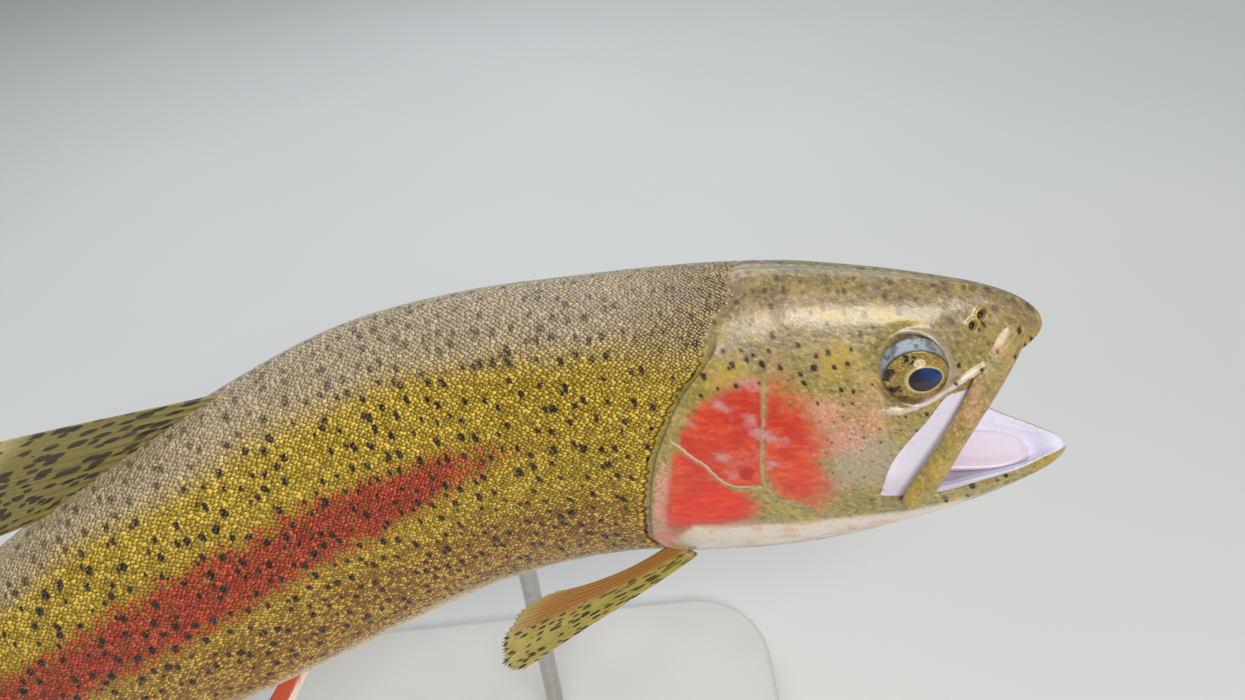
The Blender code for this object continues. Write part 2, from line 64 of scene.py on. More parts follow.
TOTAL_LENGTH = 0.50            # metres along the curved body
MM = TOTAL_LENGTH * 1000       # straight-frame fractions to millimetres
FISH_HEIGHT = 0.190            # metres from the ground to the body's axis at PIVOT
HEADING = -12.2                # degrees that the head is turned about the upright
PITCH = 17.4                   # degrees that the nose points up
CURVE = (0.245, 0.463, 31.0)   # start and end of the bend, and its degrees
TAIL_EASE = (0.60, 0.92, 24.0)      # the same for the bend back at the tail
PIVOT = 0.22
BALANCE = 0.42                 # the place that stands over the middle of the board

BACK = ((0, -.006), (.02, .0200), (.05, .035), (.08, .0475), (.12, .0620), (.17, .0725),
        (.22, .0795), (.30, .091), (.38, .098), (.45, .096), (.55, .085), (.65, .067), (.75, .050),
        (.83, .041), (.885, .043))
BELLY = ((0, -.0985), (.01, -.1065), (.035, -.110), (.06, -.1115), (.09, -.1135), (.13, -.1155),
         (.17, -.1135), (.21, -.1085), (.26, -.106), (.38, -.108), (.45, -.105), (.55, -.094),
         (.65, -.073), (.75, -.051), (.83, -.041), (.885, -.043))
HALF_WIDTH = ((0, 0), (.02, .0236), (.05, .038), (.066, .0435), (.09, .0485), (.12, .053),
              (.17, .060), (.21, .062), (.26, .060), (.38, .060), (.45, .056), (.55, .049),
              (.65, .038), (.75, .026), (.83, .017), (.885, .009))
LOW_FULLNESS = ((0, .20), (.10, .27), (.17, .20), (.25, .08), (.50, .05), (.885, 0))
SQUARENESS = ((0, .95), (.10, .92), (.25, .96), (.885, 1))
UPPER_EDGE = ((0, -.0085), (.02, -.0135), (.04, -.0135), (.05, -.0155), (.064, -.025),
              (.077, -.034), (.087, -.044), (.0965, -.0605))
LOWER_RIM = ((0, -.0965), (.0236, -.089), (.044, -.0815), (.064, -.0765), (.085, -.069),
             (.0965, -.0615))
MOUTH_CORNER = 0.0965
PALATE_RISE = 0.006            # how far the roof of the mouth arches
THROAT_END = 0.128
CLOSING_START = 0.868          # where the flesh starts to close on the tail fin
SKIN_END = 0.903
EYE = (.0645, .0240, .0008)    # centre of the right eye's globe
EYE_RADIUS = 9.4               # mm

# Rear edge of the gill cover and of its membrane under the throat: (place, height).
COVER_EDGE = ((.150, .0645), (.151, .056), (.155, .0455), (.163, .0385), (.176, .0300),
              (.188, .0175), (.201, .000), (.211, -.0205), (.2195, -.042), (.2255, -.060),
              (.223, -.076), (.214, -.088), (.198, -.0985), (.178, -.1065), (.158, -.1125),
              (.145, -.1148))
EDGE_REST = 0.200              # the row of the skin that is swept back to follow that edge
EDGE_SETTLE = 0.33             # from here on the rows stand square to the body again


def curve(points):
    """A smooth function through the points that never overshoots, even in the root of place."""
    x = np.sqrt(np.array([p[0] for p in points], float))
    y = np.array([p[1] for p in points], float)
    step, rise = np.diff(x), np.diff(y)
    slope = rise / step
    inner = np.where(slope[1:] * slope[:-1] > 0,
                     2 * slope[1:] * slope[:-1] / (slope[1:] + slope[:-1] + 1e-12), 0)
    tangent = np.concatenate([slope[:1], inner, slope[-1:]])

    def value(u):
        q = np.sqrt(np.clip(np.asarray(u, float), points[0][0], points[-1][0]))
        i = np.clip(np.searchsorted(x, q, side="right") - 1, 0, len(step) - 1)
        t = (q - x[i]) / step[i]
        return (y[i] * (1 + 2 * t) * (1 - t) ** 2 + tangent[i] * step[i] * t * (1 - t) ** 2
                + y[i + 1] * t * t * (3 - 2 * t) + tangent[i + 1] * step[i] * t * t * (t - 1))
    return value


back, belly, plain_width = curve(BACK), curve(BELLY), curve(HALF_WIDTH)
low_fullness, squareness = curve(LOW_FULLNESS), curve(SQUARENESS)
upper_edge, lower_rim = curve(UPPER_EDGE), curve(LOWER_RIM)


def ease(x):
    x = np.clip(x, 0, 1)
    return x * x * (3 - 2 * x)


def ramp(value, start, over):
    """0 up to start, then eased to 1 over a stretch; a negative stretch runs downwards."""
    return ease((value - start) / over)


def fade(value, start, over):
    return 1 - ramp(value, start, over)


def quarter(share):
    """1 at a share of 0, closing to 0 at 1 as a quarter of a circle does."""
    return np.sqrt(np.clip(1 - np.clip(share, 0, 1) ** 2, 0, 1))


def unit(vectors):
    return vectors / np.linalg.norm(vectors, axis=-1, keepdims=True)


def half_width(u):
    """The body's half width, closing to a thin edge where the flesh ends on the tail fin."""
    closing = np.clip((u - CLOSING_START) / (SKIN_END - CLOSING_START), 0, 1)
    return plain_width(u) * np.sqrt(np.maximum(1 - closing ** 2, .012))


def surface(u, angle):
    """The body's right side at a place and an angle, which is 0 at the back and pi at the belly."""
    top, low = back(u), belly(u)
    cos, sin = np.cos(angle), np.sin(angle)
    power = squareness(u)
    z = (top + low) / 2 + (top - low) / 2 * np.sign(cos) * np.abs(cos) ** power
    y = half_width(u) * np.sign(sin) * np.abs(sin) ** power * (1 - low_fullness(u) * cos)
    return np.stack(np.broadcast_arrays(u, y, z), -1)


def angle_at(u, z):
    """The angle at which the body surface has height z."""
    top, low = back(u), belly(u)
    ratio = np.clip((z - (top + low) / 2) / ((top - low) / 2), -1, 1)
    return np.arccos(np.sign(ratio) * np.abs(ratio) ** (1 / squareness(u)))


def outward_normal(u, angle):
    du, da = 1e-4, 1e-3
    along = surface(u + du, angle) - surface(np.maximum(u - du, 1e-6), angle)
    around = surface(u, angle + da) - surface(u, angle - da)
    normal = -np.cross(around, along)
    return normal / (np.linalg.norm(normal, axis=-1, keepdims=True) + 1e-15)


def outward(u, angle, distance):
    """The surface point moved out along the normal, by a distance in millimetres."""
    return surface(u, angle) + outward_normal(u, angle) * np.asarray(distance)[..., None] / MM


def spine():
    """Places along the body axis, their points and the directions there that lead to the tail."""
    u = np.linspace(0, 1.2, 601)
    turn = (CURVE[2] * ease((u - CURVE[0]) / (CURVE[1] - CURVE[0]))
            - TAIL_EASE[2] * ease((u - TAIL_EASE[0]) / (TAIL_EASE[1] - TAIL_EASE[0])))
    turn = np.radians(turn)
    flat = np.stack([-np.cos(turn), -np.sin(turn), 0 * turn], -1)
    yaw, pitch = math.radians(HEADING), math.radians(PITCH)
    heading = np.array([[math.cos(yaw), -math.sin(yaw), 0],
                        [math.sin(yaw), math.cos(yaw), 0], [0, 0, 1]])
    nose_up = np.array([[math.cos(pitch), 0, -math.sin(pitch)], [0, 1, 0],
                        [math.sin(pitch), 0, math.cos(pitch)]])
    rotation = heading @ nose_up
    direction = flat @ rotation.T
    steps = (direction[1:] + direction[:-1]) / 2 * np.diff(u)[:, None] * TOTAL_LENGTH
    centre = np.concatenate([np.zeros((1, 3)), np.cumsum(steps, 0)])
    over_board = np.array([np.interp(BALANCE, u, centre[:, k]) for k in range(2)])
    height = np.interp(PIVOT, u, centre[:, 2])
    centre -= np.array([*over_board, height - FISH_HEIGHT])
    return u, centre, direction, rotation @ np.array([0, 0, 1.0])


SPINE = spine()


def posed(points):
    """Straight-frame points bent into the pose, in metres."""
    u, centre, direction, up = SPINE
    points = np.asarray(points, float)
    at = np.clip(points[..., 0], 0, None)
    middle = np.stack([np.interp(at, u, centre[:, k]) for k in range(3)], -1)
    back_way = unit(np.stack([np.interp(at, u, direction[:, k]) for k in range(3)], -1))
    side = np.cross(up, back_way)
    ahead = np.minimum(points[..., 0], 0)
    return (middle + back_way * (ahead * TOTAL_LENGTH)[..., None]
            + side * (points[..., 1] * TOTAL_LENGTH)[..., None]
            + up * (points[..., 2] * TOTAL_LENGTH)[..., None])


def smooth_between(values, share):
    """Values at even steps, read with a smooth curve through them."""
    count = len(values) - 1
    padded = np.concatenate([[2 * values[0] - values[1]], values, [2 * values[-1] - values[-2]]])
    place = np.clip(share * count, 0, count - 1e-9)
    i = place.astype(int)
    t = place - i
    before, start, end, after = padded[i], padded[i + 1], padded[i + 2], padded[i + 3]
    return .5 * (2 * start + (end - before) * t
                 + (2 * before - 5 * start + 4 * end - after) * t ** 2
                 + (3 * start - before - 3 * end + after) * t ** 3)


def smooth_line(points, share):
    points = np.asarray(points, float)
    return np.stack([smooth_between(points[:, k], share) for k in range(points.shape[1])], -1)


def line_field(points, steps=16):
    """A function of place and height: the distance in mm from a line, negative ahead of it."""
    line = smooth_line(points, np.linspace(0, 1, steps)) * MM

    def field(u, z):
        at = np.stack(np.broadcast_arrays(u, z), -1) * MM
        best = np.full(at.shape[:-1], 1e6)
        sign = np.ones(at.shape[:-1])
        for start, end in zip(line[:-1], line[1:]):
            way = end - start
            share = np.clip(((at - start) @ way) / (way @ way), 0, 1)
            off = at - start - share[..., None] * way
            distance = np.linalg.norm(off, axis=-1)
            nearer = distance < best
            turn = way[0] * off[..., 1] - way[1] * off[..., 0]
            sign = np.where(nearer, np.sign(turn), sign)
            best = np.where(nearer, distance, best)
        return best * sign
    return field


def bell(distance, width):
    return np.exp(-(distance / width) ** 2)


def blob(u, z, centre, radii, soft=.35):
    """A soft oval mask over place and height."""
    reach = np.hypot((u - centre[0]) / radii[0], (z - centre[1]) / radii[1])
    return 1 - ease((reach - 1 + soft) / (2 * soft))


# ---- Lines of the head that both its relief and its colours follow --------------------------

ridge_line = line_field([(.134, .0265), (.1376, .0165), (.1422, .0007), (.1476, -.0158),
                         (.1508, -.0315), (.1462, -.0443), (.138, -.0525), (.132, -.0600)])
plate_seam = line_field([(.196, .0165), (.1865, .0054), (.1822, -.0021), (.1768, -.0093),
                         (.1733, -.0182), (.1694, -.0244), (.1644, -.0283), (.1560, -.0308)])
cheek_line = line_field([(.0300, -.0098), (.0363, -.0101), (.0445, -.0114), (.0524, -.0120),
                         (.0606, -.0135), (.0684, -.0140), (.0759, -.0129), (.083, -.0107),
                         (.0895, -.0061), (.0945, .0010)])
brow_line = line_field([(.116, .0475), (.1094, .0451), (.0962, .0408), (.078, .0345), (.0648, .028),
                        (.0500, .0210)])
lateral_line = line_field([(.185, .036), (.26, .024), (.38, .017), (.50, .014), (.65, .009),
                           (.78, .003), (.883, 0)], steps=12)
jaw_fold = line_field([(.010, -.0965), (.03, -.0930), (.0602, -.0846), (.0745, -.0822),
                       (.0902, -.0780), (.1151, -.0708), (.1412, -.0650), (.1644, -.0580),
                       (.1975, -.0500)])
NOSTRILS = ((.0272, .0142), (.0322, .0116))

LINE_REACH = 9                 # mm, the furthest distance from a line that is told apart

# The red stripe: place, height of its middle and half height.
STRIPE = ((.24, .0225, .006), (.26, .0250, .008), (.29, .0225, .0125), (.336, .0195, .017),
          (.36, .0172, .020), (.40, .0165, .0235), (.504, .014, .028), (.65, .009, .022),
          (.80, .002, .013), (.88, 0, .010))
# Upper edge of the pale underside of the head: place and height.
PALE_EDGE = ((.05, -.0860), (.0602, -.0846), (.0745, -.0822), (.0902, -.0780), (.1151, -.0708),
             (.1412, -.0650), (.1644, -.0580), (.1975, -.0500), (.215, -.062))


def from_pit(u, z, pit):
    """Distance in mm from a nostril's middle."""
    return np.hypot(u - pit[0], z - pit[1]) * MM


def edge_table():
    """For angles round the body: where the gill cover's rear edge runs, and how far it stands."""
    line = smooth_line(COVER_EDGE, np.linspace(0, 1, 120))
    angle = angle_at(line[:, 0], line[:, 1])
    standing = ease((.050 - line[:, 1]) / .014) * (1 - .6 * ease((-.098 - line[:, 1]) / .02))
    order = np.argsort(angle)
    return angle[order], line[order, 0], standing[order]


EDGE_TABLE = edge_table()


def cover_edge(angle):
    return np.interp(angle, EDGE_TABLE[0], EDGE_TABLE[1])


def cover_standing(angle):
    return np.interp(angle, EDGE_TABLE[0], EDGE_TABLE[2], left=0)


def scale_start(angle):
    """Where the scales begin: just behind the gill cover, and further ahead on the nape."""
    return cover_edge(angle) + .0045 - .016 * fade(angle, .30, .40)


def relief(u, z):
    """Height in mm of the bones, folds and pores of the head over the plain body."""
    on_head = fade(u, .20, .04)
    ridge, seam, cheek = ridge_line(u, z), plate_seam(u, z), cheek_line(u, z)
    height = .40 * bell(ridge + .9, 1.6) - .35 * bell(ridge - 1.3, 1.1)
    height += .25 * bell(seam + .6, .8) - .25 * bell(seam - .8, .8)
    height += (.45 * bell(cheek, .9) - .30 * bell(cheek - 1.9, 1.1)) * fade(u, .080, .014)
    height += .22 * bell(brow_line(u, z), 3.0)
    height += .30 * bell(jaw_fold(u, z) + 1.0, .9) - .40 * bell(jaw_fold(u, z), .7)
    low = (z - belly(u)) / (-.084 - belly(u))
    throat = ramp(u, .098, .015) * fade(u, .20, .02) * ease(low / .08)
    throat *= fade(low, .85, .15)
    height += .22 * throat * np.sin(low * 2 * math.pi * 5.5 + 30 * (u - .1))
    for pit in NOSTRILS:
        away = from_pit(u, z, pit)
        height += .45 * bell(away - 1.3, .5) - 1.35 * bell(away, .85)
    return height * on_head - .12 * bell(lateral_line(u, z), .6) * (1 - on_head)


def marks(u, angle, on_head):
    """The fields that the colours follow at each point, three to a vector.

    tones: height from 1 at the back to -1 at the belly, the stripe, and how bare of scales.
    reds: rosy blush, orange ember and pink; below nothing, pink is a dark red spot.
    lights: the mouth's lining, or below nothing the cheek's grey; gold, or below it dark, a painted
    shade in the nostrils' pits and under the eyes; pale.
    lines and weights: distance in mm from the ridge, the plates' seam and the cheek's line, and
    how much each of them shows there. spots: the size of the specks.
    """
    z = surface(u, angle)[..., 2]
    top, low = back(u), belly(u)
    level = (z - (top + low) / 2) / ((top - low) / 2)
    places, heights, reaches = zip(*STRIPE)
    centre, reach = np.interp(u, places, heights), np.interp(u, places, reaches)
    strength = ramp(u, .225, .15)
    stripe = np.clip(1.15 - (np.abs(z - centre) / reach) ** 1.5, 0, 1) * strength
    spots = .75 + .25 * ramp(u, .20, .05)
    spots = spots * fade(level, -.62, -.25)
    if not on_head:
        nape = (1 - ease((u - scale_start(angle)) / .07)) * fade(angle, .6, .4)
        blank = np.zeros((*level.shape, 3))
        return {"tones": np.stack([level, stripe, nape], -1), "reds": blank, "lights": blank,
                "lines": blank + LINE_REACH, "weights": blank, "spots": spots}
    ridge, seam = ridge_line(u, z), plate_seam(u, z)
    bare = 1 - ease((u - scale_start(angle) + .003) / (.005 + .025 * fade(angle, .3, .5)))
    margin = (cover_edge(angle) - u) * MM
    upper = ramp(ridge, -1, 3) * ease(margin / 9) * ease((-seam + 1.5) / 3)
    upper *= ramp(z, .034, -.018) * ramp(z, -.052, .020)
    rear = ramp(seam, -.5, 3) * ramp(margin, 1.5, 6) * ramp(z, -.062, .018)
    rear *= ramp(u, .143, .030)
    front = blob(u, z, (.1345, -.016), (.019, .042), .9) * ramp(ridge, 1, -3)
    below = fade(z, -.058, .012) * ramp(z, -.085, .015) * ramp(u, .185, .02)
    blush = np.maximum.reduce([upper, rear, front * .95, below * .40]) * bare
    ember = np.maximum(rear * (.45 + .55 * blob(u, z, (.184, -.040), (.020, .014), .6)),
                       .45 * blob(u, z, (.131, -.028), (.010, .020), .6)) * bare
    pink = np.maximum(.75 * blob(u, z, (.1045, -.0120), (.021, .019), 1),
                      .8 * ease((3.5 - np.abs(margin - 3.5)) / 2) * ramp(z, .005, -.01)) * bare
    gold = np.maximum.reduce([bell(brow_line(u, z), 1.7) * ramp(u, .045, .02),
                              blob(u, z, (.097, .0225), (.0085, .0085), .7),
                              *(bell(from_pit(u, z, pit) - 1.4, .6) for pit in NOSTRILS),
                              blob(u, z, (.157, .0335), (.014, .0075), .7),
                              .75 * ramp(z, -.003, -.006) * ramp(u, .024, -.012)]) * bare
    # Painted shade: the nostrils' pits are darkened, taking gold below nothing.
    for pit in NOSTRILS:
        gold = gold - 2 * bell(from_pit(u, z, pit), .75)
    under = ease((np.interp(u, *zip(*PALE_EDGE)) - z) / .0035)
    under = under * ramp(u, .050, .012) * fade(u, .195, .03)
    grey = blob(u, z, (.099, -.034), (.019, .015), .7)
    pink = pink - 2 * blob(u, z, (.1572, -.0214), (.0034, .0034), .5) * bare
    cheek = ramp(z, .010, -.012) * ramp(u, .060, .02)
    spots = spots * (1 - .9 * ramp(z, .030, -.012) * ramp(u, .115, .01)) * (1 - .8 * under)
    spots = spots * (1 - .68 * cheek)
    lines = np.clip(np.stack([ridge, seam, cheek_line(u, z)], -1), -LINE_REACH, LINE_REACH)
    weights = np.stack([ramp(z, .028, -.010) * ramp(z, -.056, .012),
                        ramp(u, .153, .008) * ramp(margin, 1.5, 2) * ramp(z, .012, -.004),
                        ramp(u, .030, .008) * ramp(u, .094, -.030)], -1)
    weights *= bare[..., None]
    return {"tones": np.stack([level, stripe, bare], -1),
            "reds": np.stack([blush, ember, pink], -1),
            "lights": np.stack([-grey, gold, under], -1),
            "lines": lines, "weights": weights, "spots": spots}


# ---- Skin ---------------------------------------------------------------------------------

UPPER, LOWER, PALATE, FLOOR, MAXILLA, WEB, TONGUE = range(7)   # kinds of surface in the skin
HEAD_SINK = .15                # mm that the bare skin lies inside the solids
SCALED_SINK = .45              # mm that the skin under the scales lies inside them
LIP_RADIUS = 1.1               # mm that the lips are rounded
ORBIT = 8.9                    # mm, half height of the opening round the eye
ORBIT_SLIM = 1.08              # how much shorter the opening is along the head
ORBIT_TILT = 24.0              # degrees that the opening faces up
EYE_TURN = 5.0                 # degrees that the eye looks ahead of straight out
LID_WIDTH = 5.0                # mm of skin round the opening that are drawn down to the globe
IRIS_CLEAR = 3.6               # mm out from the eye's centre that tucked-in skin may reach
CORNER_ROW = 83                # the row of the skin at the mouth's corner
THROAT_ROWS = 14               # rows of the mouth's lining behind that corner
THROAT_HEIGHT = -.074          # where the lining closes


def row_table():
    """Each row of the skin: its place along the body, and its lift (mm) and shift at the cover."""
    nose = MOUTH_CORNER * np.linspace(0, 1, CORNER_ROW + 1) ** 1.40
    cheek = np.linspace(MOUTH_CORNER, EDGE_REST - .0040, 80)[1:]
    rows = [(u, 0, 0) for u in [*nose, *cheek]]
    rows += [(EDGE_REST - .0026, .25, 0), (EDGE_REST - .0014, .30, 0), (EDGE_REST - .0006, .22, 0),
             (EDGE_REST - .0002, -.02, 0), (EDGE_REST, -.40, -.0004), (EDGE_REST, -1.1, -.0016),
             (EDGE_REST + .0008, -1.25, 0), (EDGE_REST + .0020, -.95, 0),
             (EDGE_REST + .0040, -.50, 0), (EDGE_REST + .0065, -.15, 0)]
    flank = np.linspace(EDGE_REST + .0085, EDGE_SETTLE, 34)
    trunk = np.linspace(EDGE_SETTLE, CLOSING_START, 70)[1:]
    closing = np.sin(np.linspace(0, math.pi / 2, 16))[1:]
    end = CLOSING_START + (SKIN_END - CLOSING_START) * closing
    rows += [(u, 0, 0) for u in [*flank, *trunk, *end]]
    return np.array(rows)


ROWS = row_table()


def seam_height(u):
    """Height of the line that runs back from the mouth's corner and fades to the mid flank."""
    start = float(upper_edge(MOUTH_CORNER))
    return start * (1 - .8 * ease((u - MOUTH_CORNER) / (.24 - MOUTH_CORNER)))


def rim_height(u):
    """The lower jaw's rim, brought up to meet the upper one in the mouth's corner."""
    rise = upper_edge(MOUTH_CORNER) - lower_rim(MOUTH_CORNER)
    return lower_rim(u) + rise * ease((u - .085) / (MOUTH_CORNER - .085))


def outer_points(row, across, kind):
    """Straight-frame points of the outer skin, and the place, angle and side of each."""
    index = np.arange(len(ROWS))
    rest, lift, shift = (np.interp(row, index, ROWS[:, k]) for k in range(3))
    side, share = np.where(across < 0, -1.0, 1.0), np.abs(across)
    share = 1 - (.24 * (1 - share) + .76 * (1 - share) ** 2)      # closer together at the seam
    is_low = kind == LOWER
    height = np.where(rest < MOUTH_CORNER, np.where(is_low, rim_height(rest), upper_edge(rest)),
                      seam_height(rest))
    seam = angle_at(rest, height)
    angle = np.where(is_low, math.pi + (seam - math.pi) * share, seam * share)
    sweep = np.where(rest < EDGE_REST, ease((rest - MOUTH_CORNER) / (EDGE_REST - MOUTH_CORNER)),
                     1 - ease((rest - EDGE_REST) / (EDGE_SETTLE - EDGE_REST)))
    stand = cover_standing(angle) * (np.abs(rest - EDGE_REST) < .012)
    u = rest + (cover_edge(angle) - EDGE_REST) * sweep + shift * stand
    edge_share = ease((rest - EDGE_REST + .03) / .03) * (rest < EDGE_REST - .0002)
    lift = lift * stand + .25 * edge_share * cover_standing(angle)
    behind = ease((u - scale_start(angle) + .0035) / .005)
    sink = HEAD_SINK + (SCALED_SINK - HEAD_SINK) * behind
    z = surface(u, angle)[..., 2]
    radius = LIP_RADIUS * ramp(rest, MOUTH_CORNER, -.010) * ease(rest / .012)
    from_lip = np.abs(z - height) * MM
    short = np.clip(radius - from_lip, 0, None)
    roll = radius - np.sqrt(np.maximum(radius ** 2 - short ** 2, 0))
    nose = np.clip(u / .003, 0, 1)
    tail = 1 - ramp(u, .87, .03) * .8
    distance = (relief(u, z) - sink * tail - roll + lift) * nose
    points = outward(u, angle, distance)
    points[..., 1] *= side
    return points, u, angle, side


def lip_points(row, kind):
    edge = outer_points(row, np.ones(len(row)), np.full(len(row), kind))[0]
    return open_orbit(edge, np.ones(len(row), bool))


def lining_points(row, across, kind):
    """Palate and floor of the mouth: from the lips to a pouch that closes behind the corner."""
    is_low = kind == FLOOR
    front = np.minimum(row, CORNER_ROW)
    edge = np.where(is_low[:, None], lip_points(front, LOWER), lip_points(front, UPPER))
    u = edge[:, 0]
    width, wide = edge[:, 1], np.abs(across)
    into = np.clip((row - CORNER_ROW) / THROAT_ROWS, 0, 1)
    tip = ease(u / .02)
    rise = PALATE_RISE * ease(u / .05) * (1 - across ** 2) + .0030 * bell(across, .12) * tip
    depth = (edge[:, 2] - belly(u)) * .52 * tip
    trough = np.where(wide < .90, 1 - (wide / .90) ** 1.8, 0) + .03 * bell(wide - .95, .03)
    fold = np.where(is_low, .0016 * bell(wide - .72, .05) * ease(u / .03), 0)
    height = edge[:, 2] + np.where(is_low, -depth * trough, rise) + fold
    close = quarter(into)
    return np.stack([u + into * (THROAT_END - MOUTH_CORNER), width * across * close,
                     THROAT_HEIGHT + (height - THROAT_HEIGHT) * close], -1)


def tube_point(line, across, widths, thickness, share, around):
    """A closed strap round a middle line: widths and thickness are half sizes, in mm."""
    middle = smooth_line(line, share)
    step = 1e-3
    along = unit(smooth_line(line, np.minimum(share + step, 1)) - smooth_line(line, share - step))
    side = unit(np.cross(along, across))
    normal = np.cross(side, along)
    return middle + (side * (widths * np.cos(around))[..., None]
                     + normal * (thickness * np.sin(around))[..., None]) / MM


MAXILLA_LINE = ((.0120, .0062, .0030), (.0200, .0168, -.0065), (.0380, .0303, -.0255),
                (.0545, .0402, -.0420), (.0710, .0487, -.0585), (.0850, .0530, -.0715))


def maxilla_points(share, around):
    """The strap of bone along the side of the gape, widest at its rounded lower end."""
    end, start = quarter((share - .85) / .16), quarter((.10 - share) / .10)
    widths = (3.8 - .7 * bell(share - .55, .25) + .4 * bell(share - .25, .2)) * end * start
    outer = -np.sin(around)
    groove = .34 * bell(np.cos(around) - .35, .20) * ramp(share, .40, .2) * (outer > 0)
    thick = (.78 + .35 * outer) * np.minimum(end, start) - groove * end
    points = tube_point(MAXILLA_LINE, np.array([0, -1, 0]), widths, thick, share, around)
    swell = .0012 * ramp(share, .15, .3)
    points[..., 1] += swell * (1 - np.cos(around) ** 2) * (outer > -.5)
    return points


def web_points(share, around):
    """The pale fold of skin between the cheek and the maxilla."""
    place = .034 + .0635 * share
    cheek = surface(place, angle_at(place, upper_edge(place))) + np.array([-.0004, -.0044, -.0004])
    front = np.stack([.030 + .0580 * share, .0215 + .0255 * share,
                      -.0145 - .0590 * share ** 1.08], -1)
    out = (.5 - .5 * np.cos(around))[..., None]
    flat = cheek * (1 - out) + front * out
    sag = np.sin(out * math.pi) * -.0022 * np.sin(share * math.pi)[..., None]
    thick = .5 * np.sin(around) * np.minimum(1, 6 * np.minimum(share, 1 - share) + .2) / MM
    flat[..., 1] += sag[..., 0] + thick
    return flat


def tongue_points(share, around):
    """A low, broad tongue that stands on the floor of the mouth."""
    u = .019 + .073 * share
    wide = np.minimum(.0150 * quarter(1 - share / .34), .0120 + .014 * share)
    wide = wide * quarter((share - .9) / .1)
    high = np.where(np.cos(around) > 0, .0022, .0070) * np.minimum(1, wide / .007)
    groove = .0008 * bell(np.sin(around), .22) * (np.cos(around) > 0)
    across = np.sign(np.sin(around)) * np.abs(np.sin(around)) ** .75
    return np.stack([u, wide * across,
                     -.0945 + .0150 * share + high * np.cos(around) - groove], -1)


def eye_frame(side):
    """Centre of the eye in straight-frame mm and its three axes, the first one looking out."""
    turn = math.radians(EYE_TURN)
    out = np.array([-math.sin(turn), math.cos(turn) * side, 0])
    ahead = np.array([-math.cos(turn), -math.sin(turn) * side, 0])
    return np.array([EYE[0], EYE[1] * side, EYE[2]]) * MM, out, ahead, np.array([0, 0, 1.0])


def orbit_reach(points, side):
    """Each point's distance in mm from the opening's axis, plain and stretched, and its height."""
    centre, out, ahead, up = eye_frame(side)
    tilt = math.radians(ORBIT_TILT)
    facing = out * math.cos(tilt) + up * math.sin(tilt)
    off = points * MM - centre
    height = off @ facing
    away = off - height[..., None] * facing
    along = away @ ahead
    plain = np.linalg.norm(away, axis=-1)
    return np.sqrt(plain ** 2 + (ORBIT_SLIM ** 2 - 1) * along ** 2), plain, height, facing


def open_orbit(points, is_outer):
    """Draws the skin down round each eye to a rim on the globe, and tucks it in under the globe."""
    points = points.copy()
    for side in (1, -1):
        centre, out, _, _ = eye_frame(side)
        reach, plain, height, facing = orbit_reach(points, side)
        near = is_outer & (reach < ORBIT + LID_WIDTH + 1) & (height > -2)
        rim = plain * ORBIT / np.maximum(reach, .1)
        globe = np.sqrt(np.maximum((EYE_RADIUS + .25) ** 2 - rim ** 2, 0))
        t = np.clip((reach - ORBIT) / LID_WIDTH, 0, 1)
        drawn = globe + (height - globe) * (1 - (1 - t) ** 2.4)
        drawn += .30 * bell(reach - ORBIT - .8, .6) - .15 * bell(reach - ORBIT - 2.2, .8)
        inner = np.minimum(plain, EYE_RADIUS - 1)
        tucked = np.sqrt(np.maximum((EYE_RADIUS - .8) ** 2 - inner ** 2, 0))
        inward = ramp(reach, ORBIT, -.35)
        drawn = np.where(reach < ORBIT, globe + (tucked - globe) * inward, drawn)
        drawn = np.where(reach < ORBIT + LID_WIDTH, drawn, height)
        moved = points + facing * (drawn - height)[..., None] / MM
        ahead_of_iris = np.maximum((moved * MM - centre) @ out - IRIS_CLEAR, 0) * inward
        moved -= out * ahead_of_iris[..., None] / MM
        points[near] = moved[near]
    return points


def skin_points(place):
    """Straight-frame points of every vertex of the skin, from the row, share and kind it keeps."""
    row, across, kind = place.T
    kind = np.round(kind % 10).astype(int)
    side = np.where(place[:, 2] >= 10, -1.0, 1.0)
    points = np.zeros((len(place), 3))
    outer = kind <= LOWER
    points[outer] = outer_points(row[outer], across[outer], kind[outer])[0]
    points = open_orbit(points, outer)
    lining = (kind == PALATE) | (kind == FLOOR)
    points[lining] = lining_points(row[lining], across[lining], kind[lining])
    for number, shape in ((MAXILLA, maxilla_points), (WEB, web_points), (TONGUE, tongue_points)):
        chosen = kind == number
        points[chosen] = shape(row[chosen], across[chosen])
        points[chosen, 1] *= side[chosen]
    return points


def add_sheet(shape, layer, kind, rows, columns):
    """A flat grid whose vertices keep their row, their share across and the kind of surface."""
    made = bmesh.ops.create_grid(shape, x_segments=rows - 1, y_segments=columns, size=1)["verts"]
    for vert in made:
        vert[layer] = ((vert.co.x + 1) / 2 * (rows - 1), vert.co.y, kind)


def add_closed(shape, layer, kind, along, around):
    """A ball whose vertices keep their share from pole to pole and their angle round."""
    made = bmesh.ops.create_uvsphere(shape, u_segments=around, v_segments=along, radius=1)["verts"]
    for vert in made:
        share = math.acos(max(-1, min(1, vert.co.z))) / math.pi
        vert[layer] = (share, math.atan2(vert.co.y, vert.co.x), kind)


def read_layer(shape, layer):
    return np.array([vert[layer][:] for vert in shape.verts])


def place_vertices(shape, points):
    for vert, point in zip(shape.verts, posed(points)):
        vert.co = point


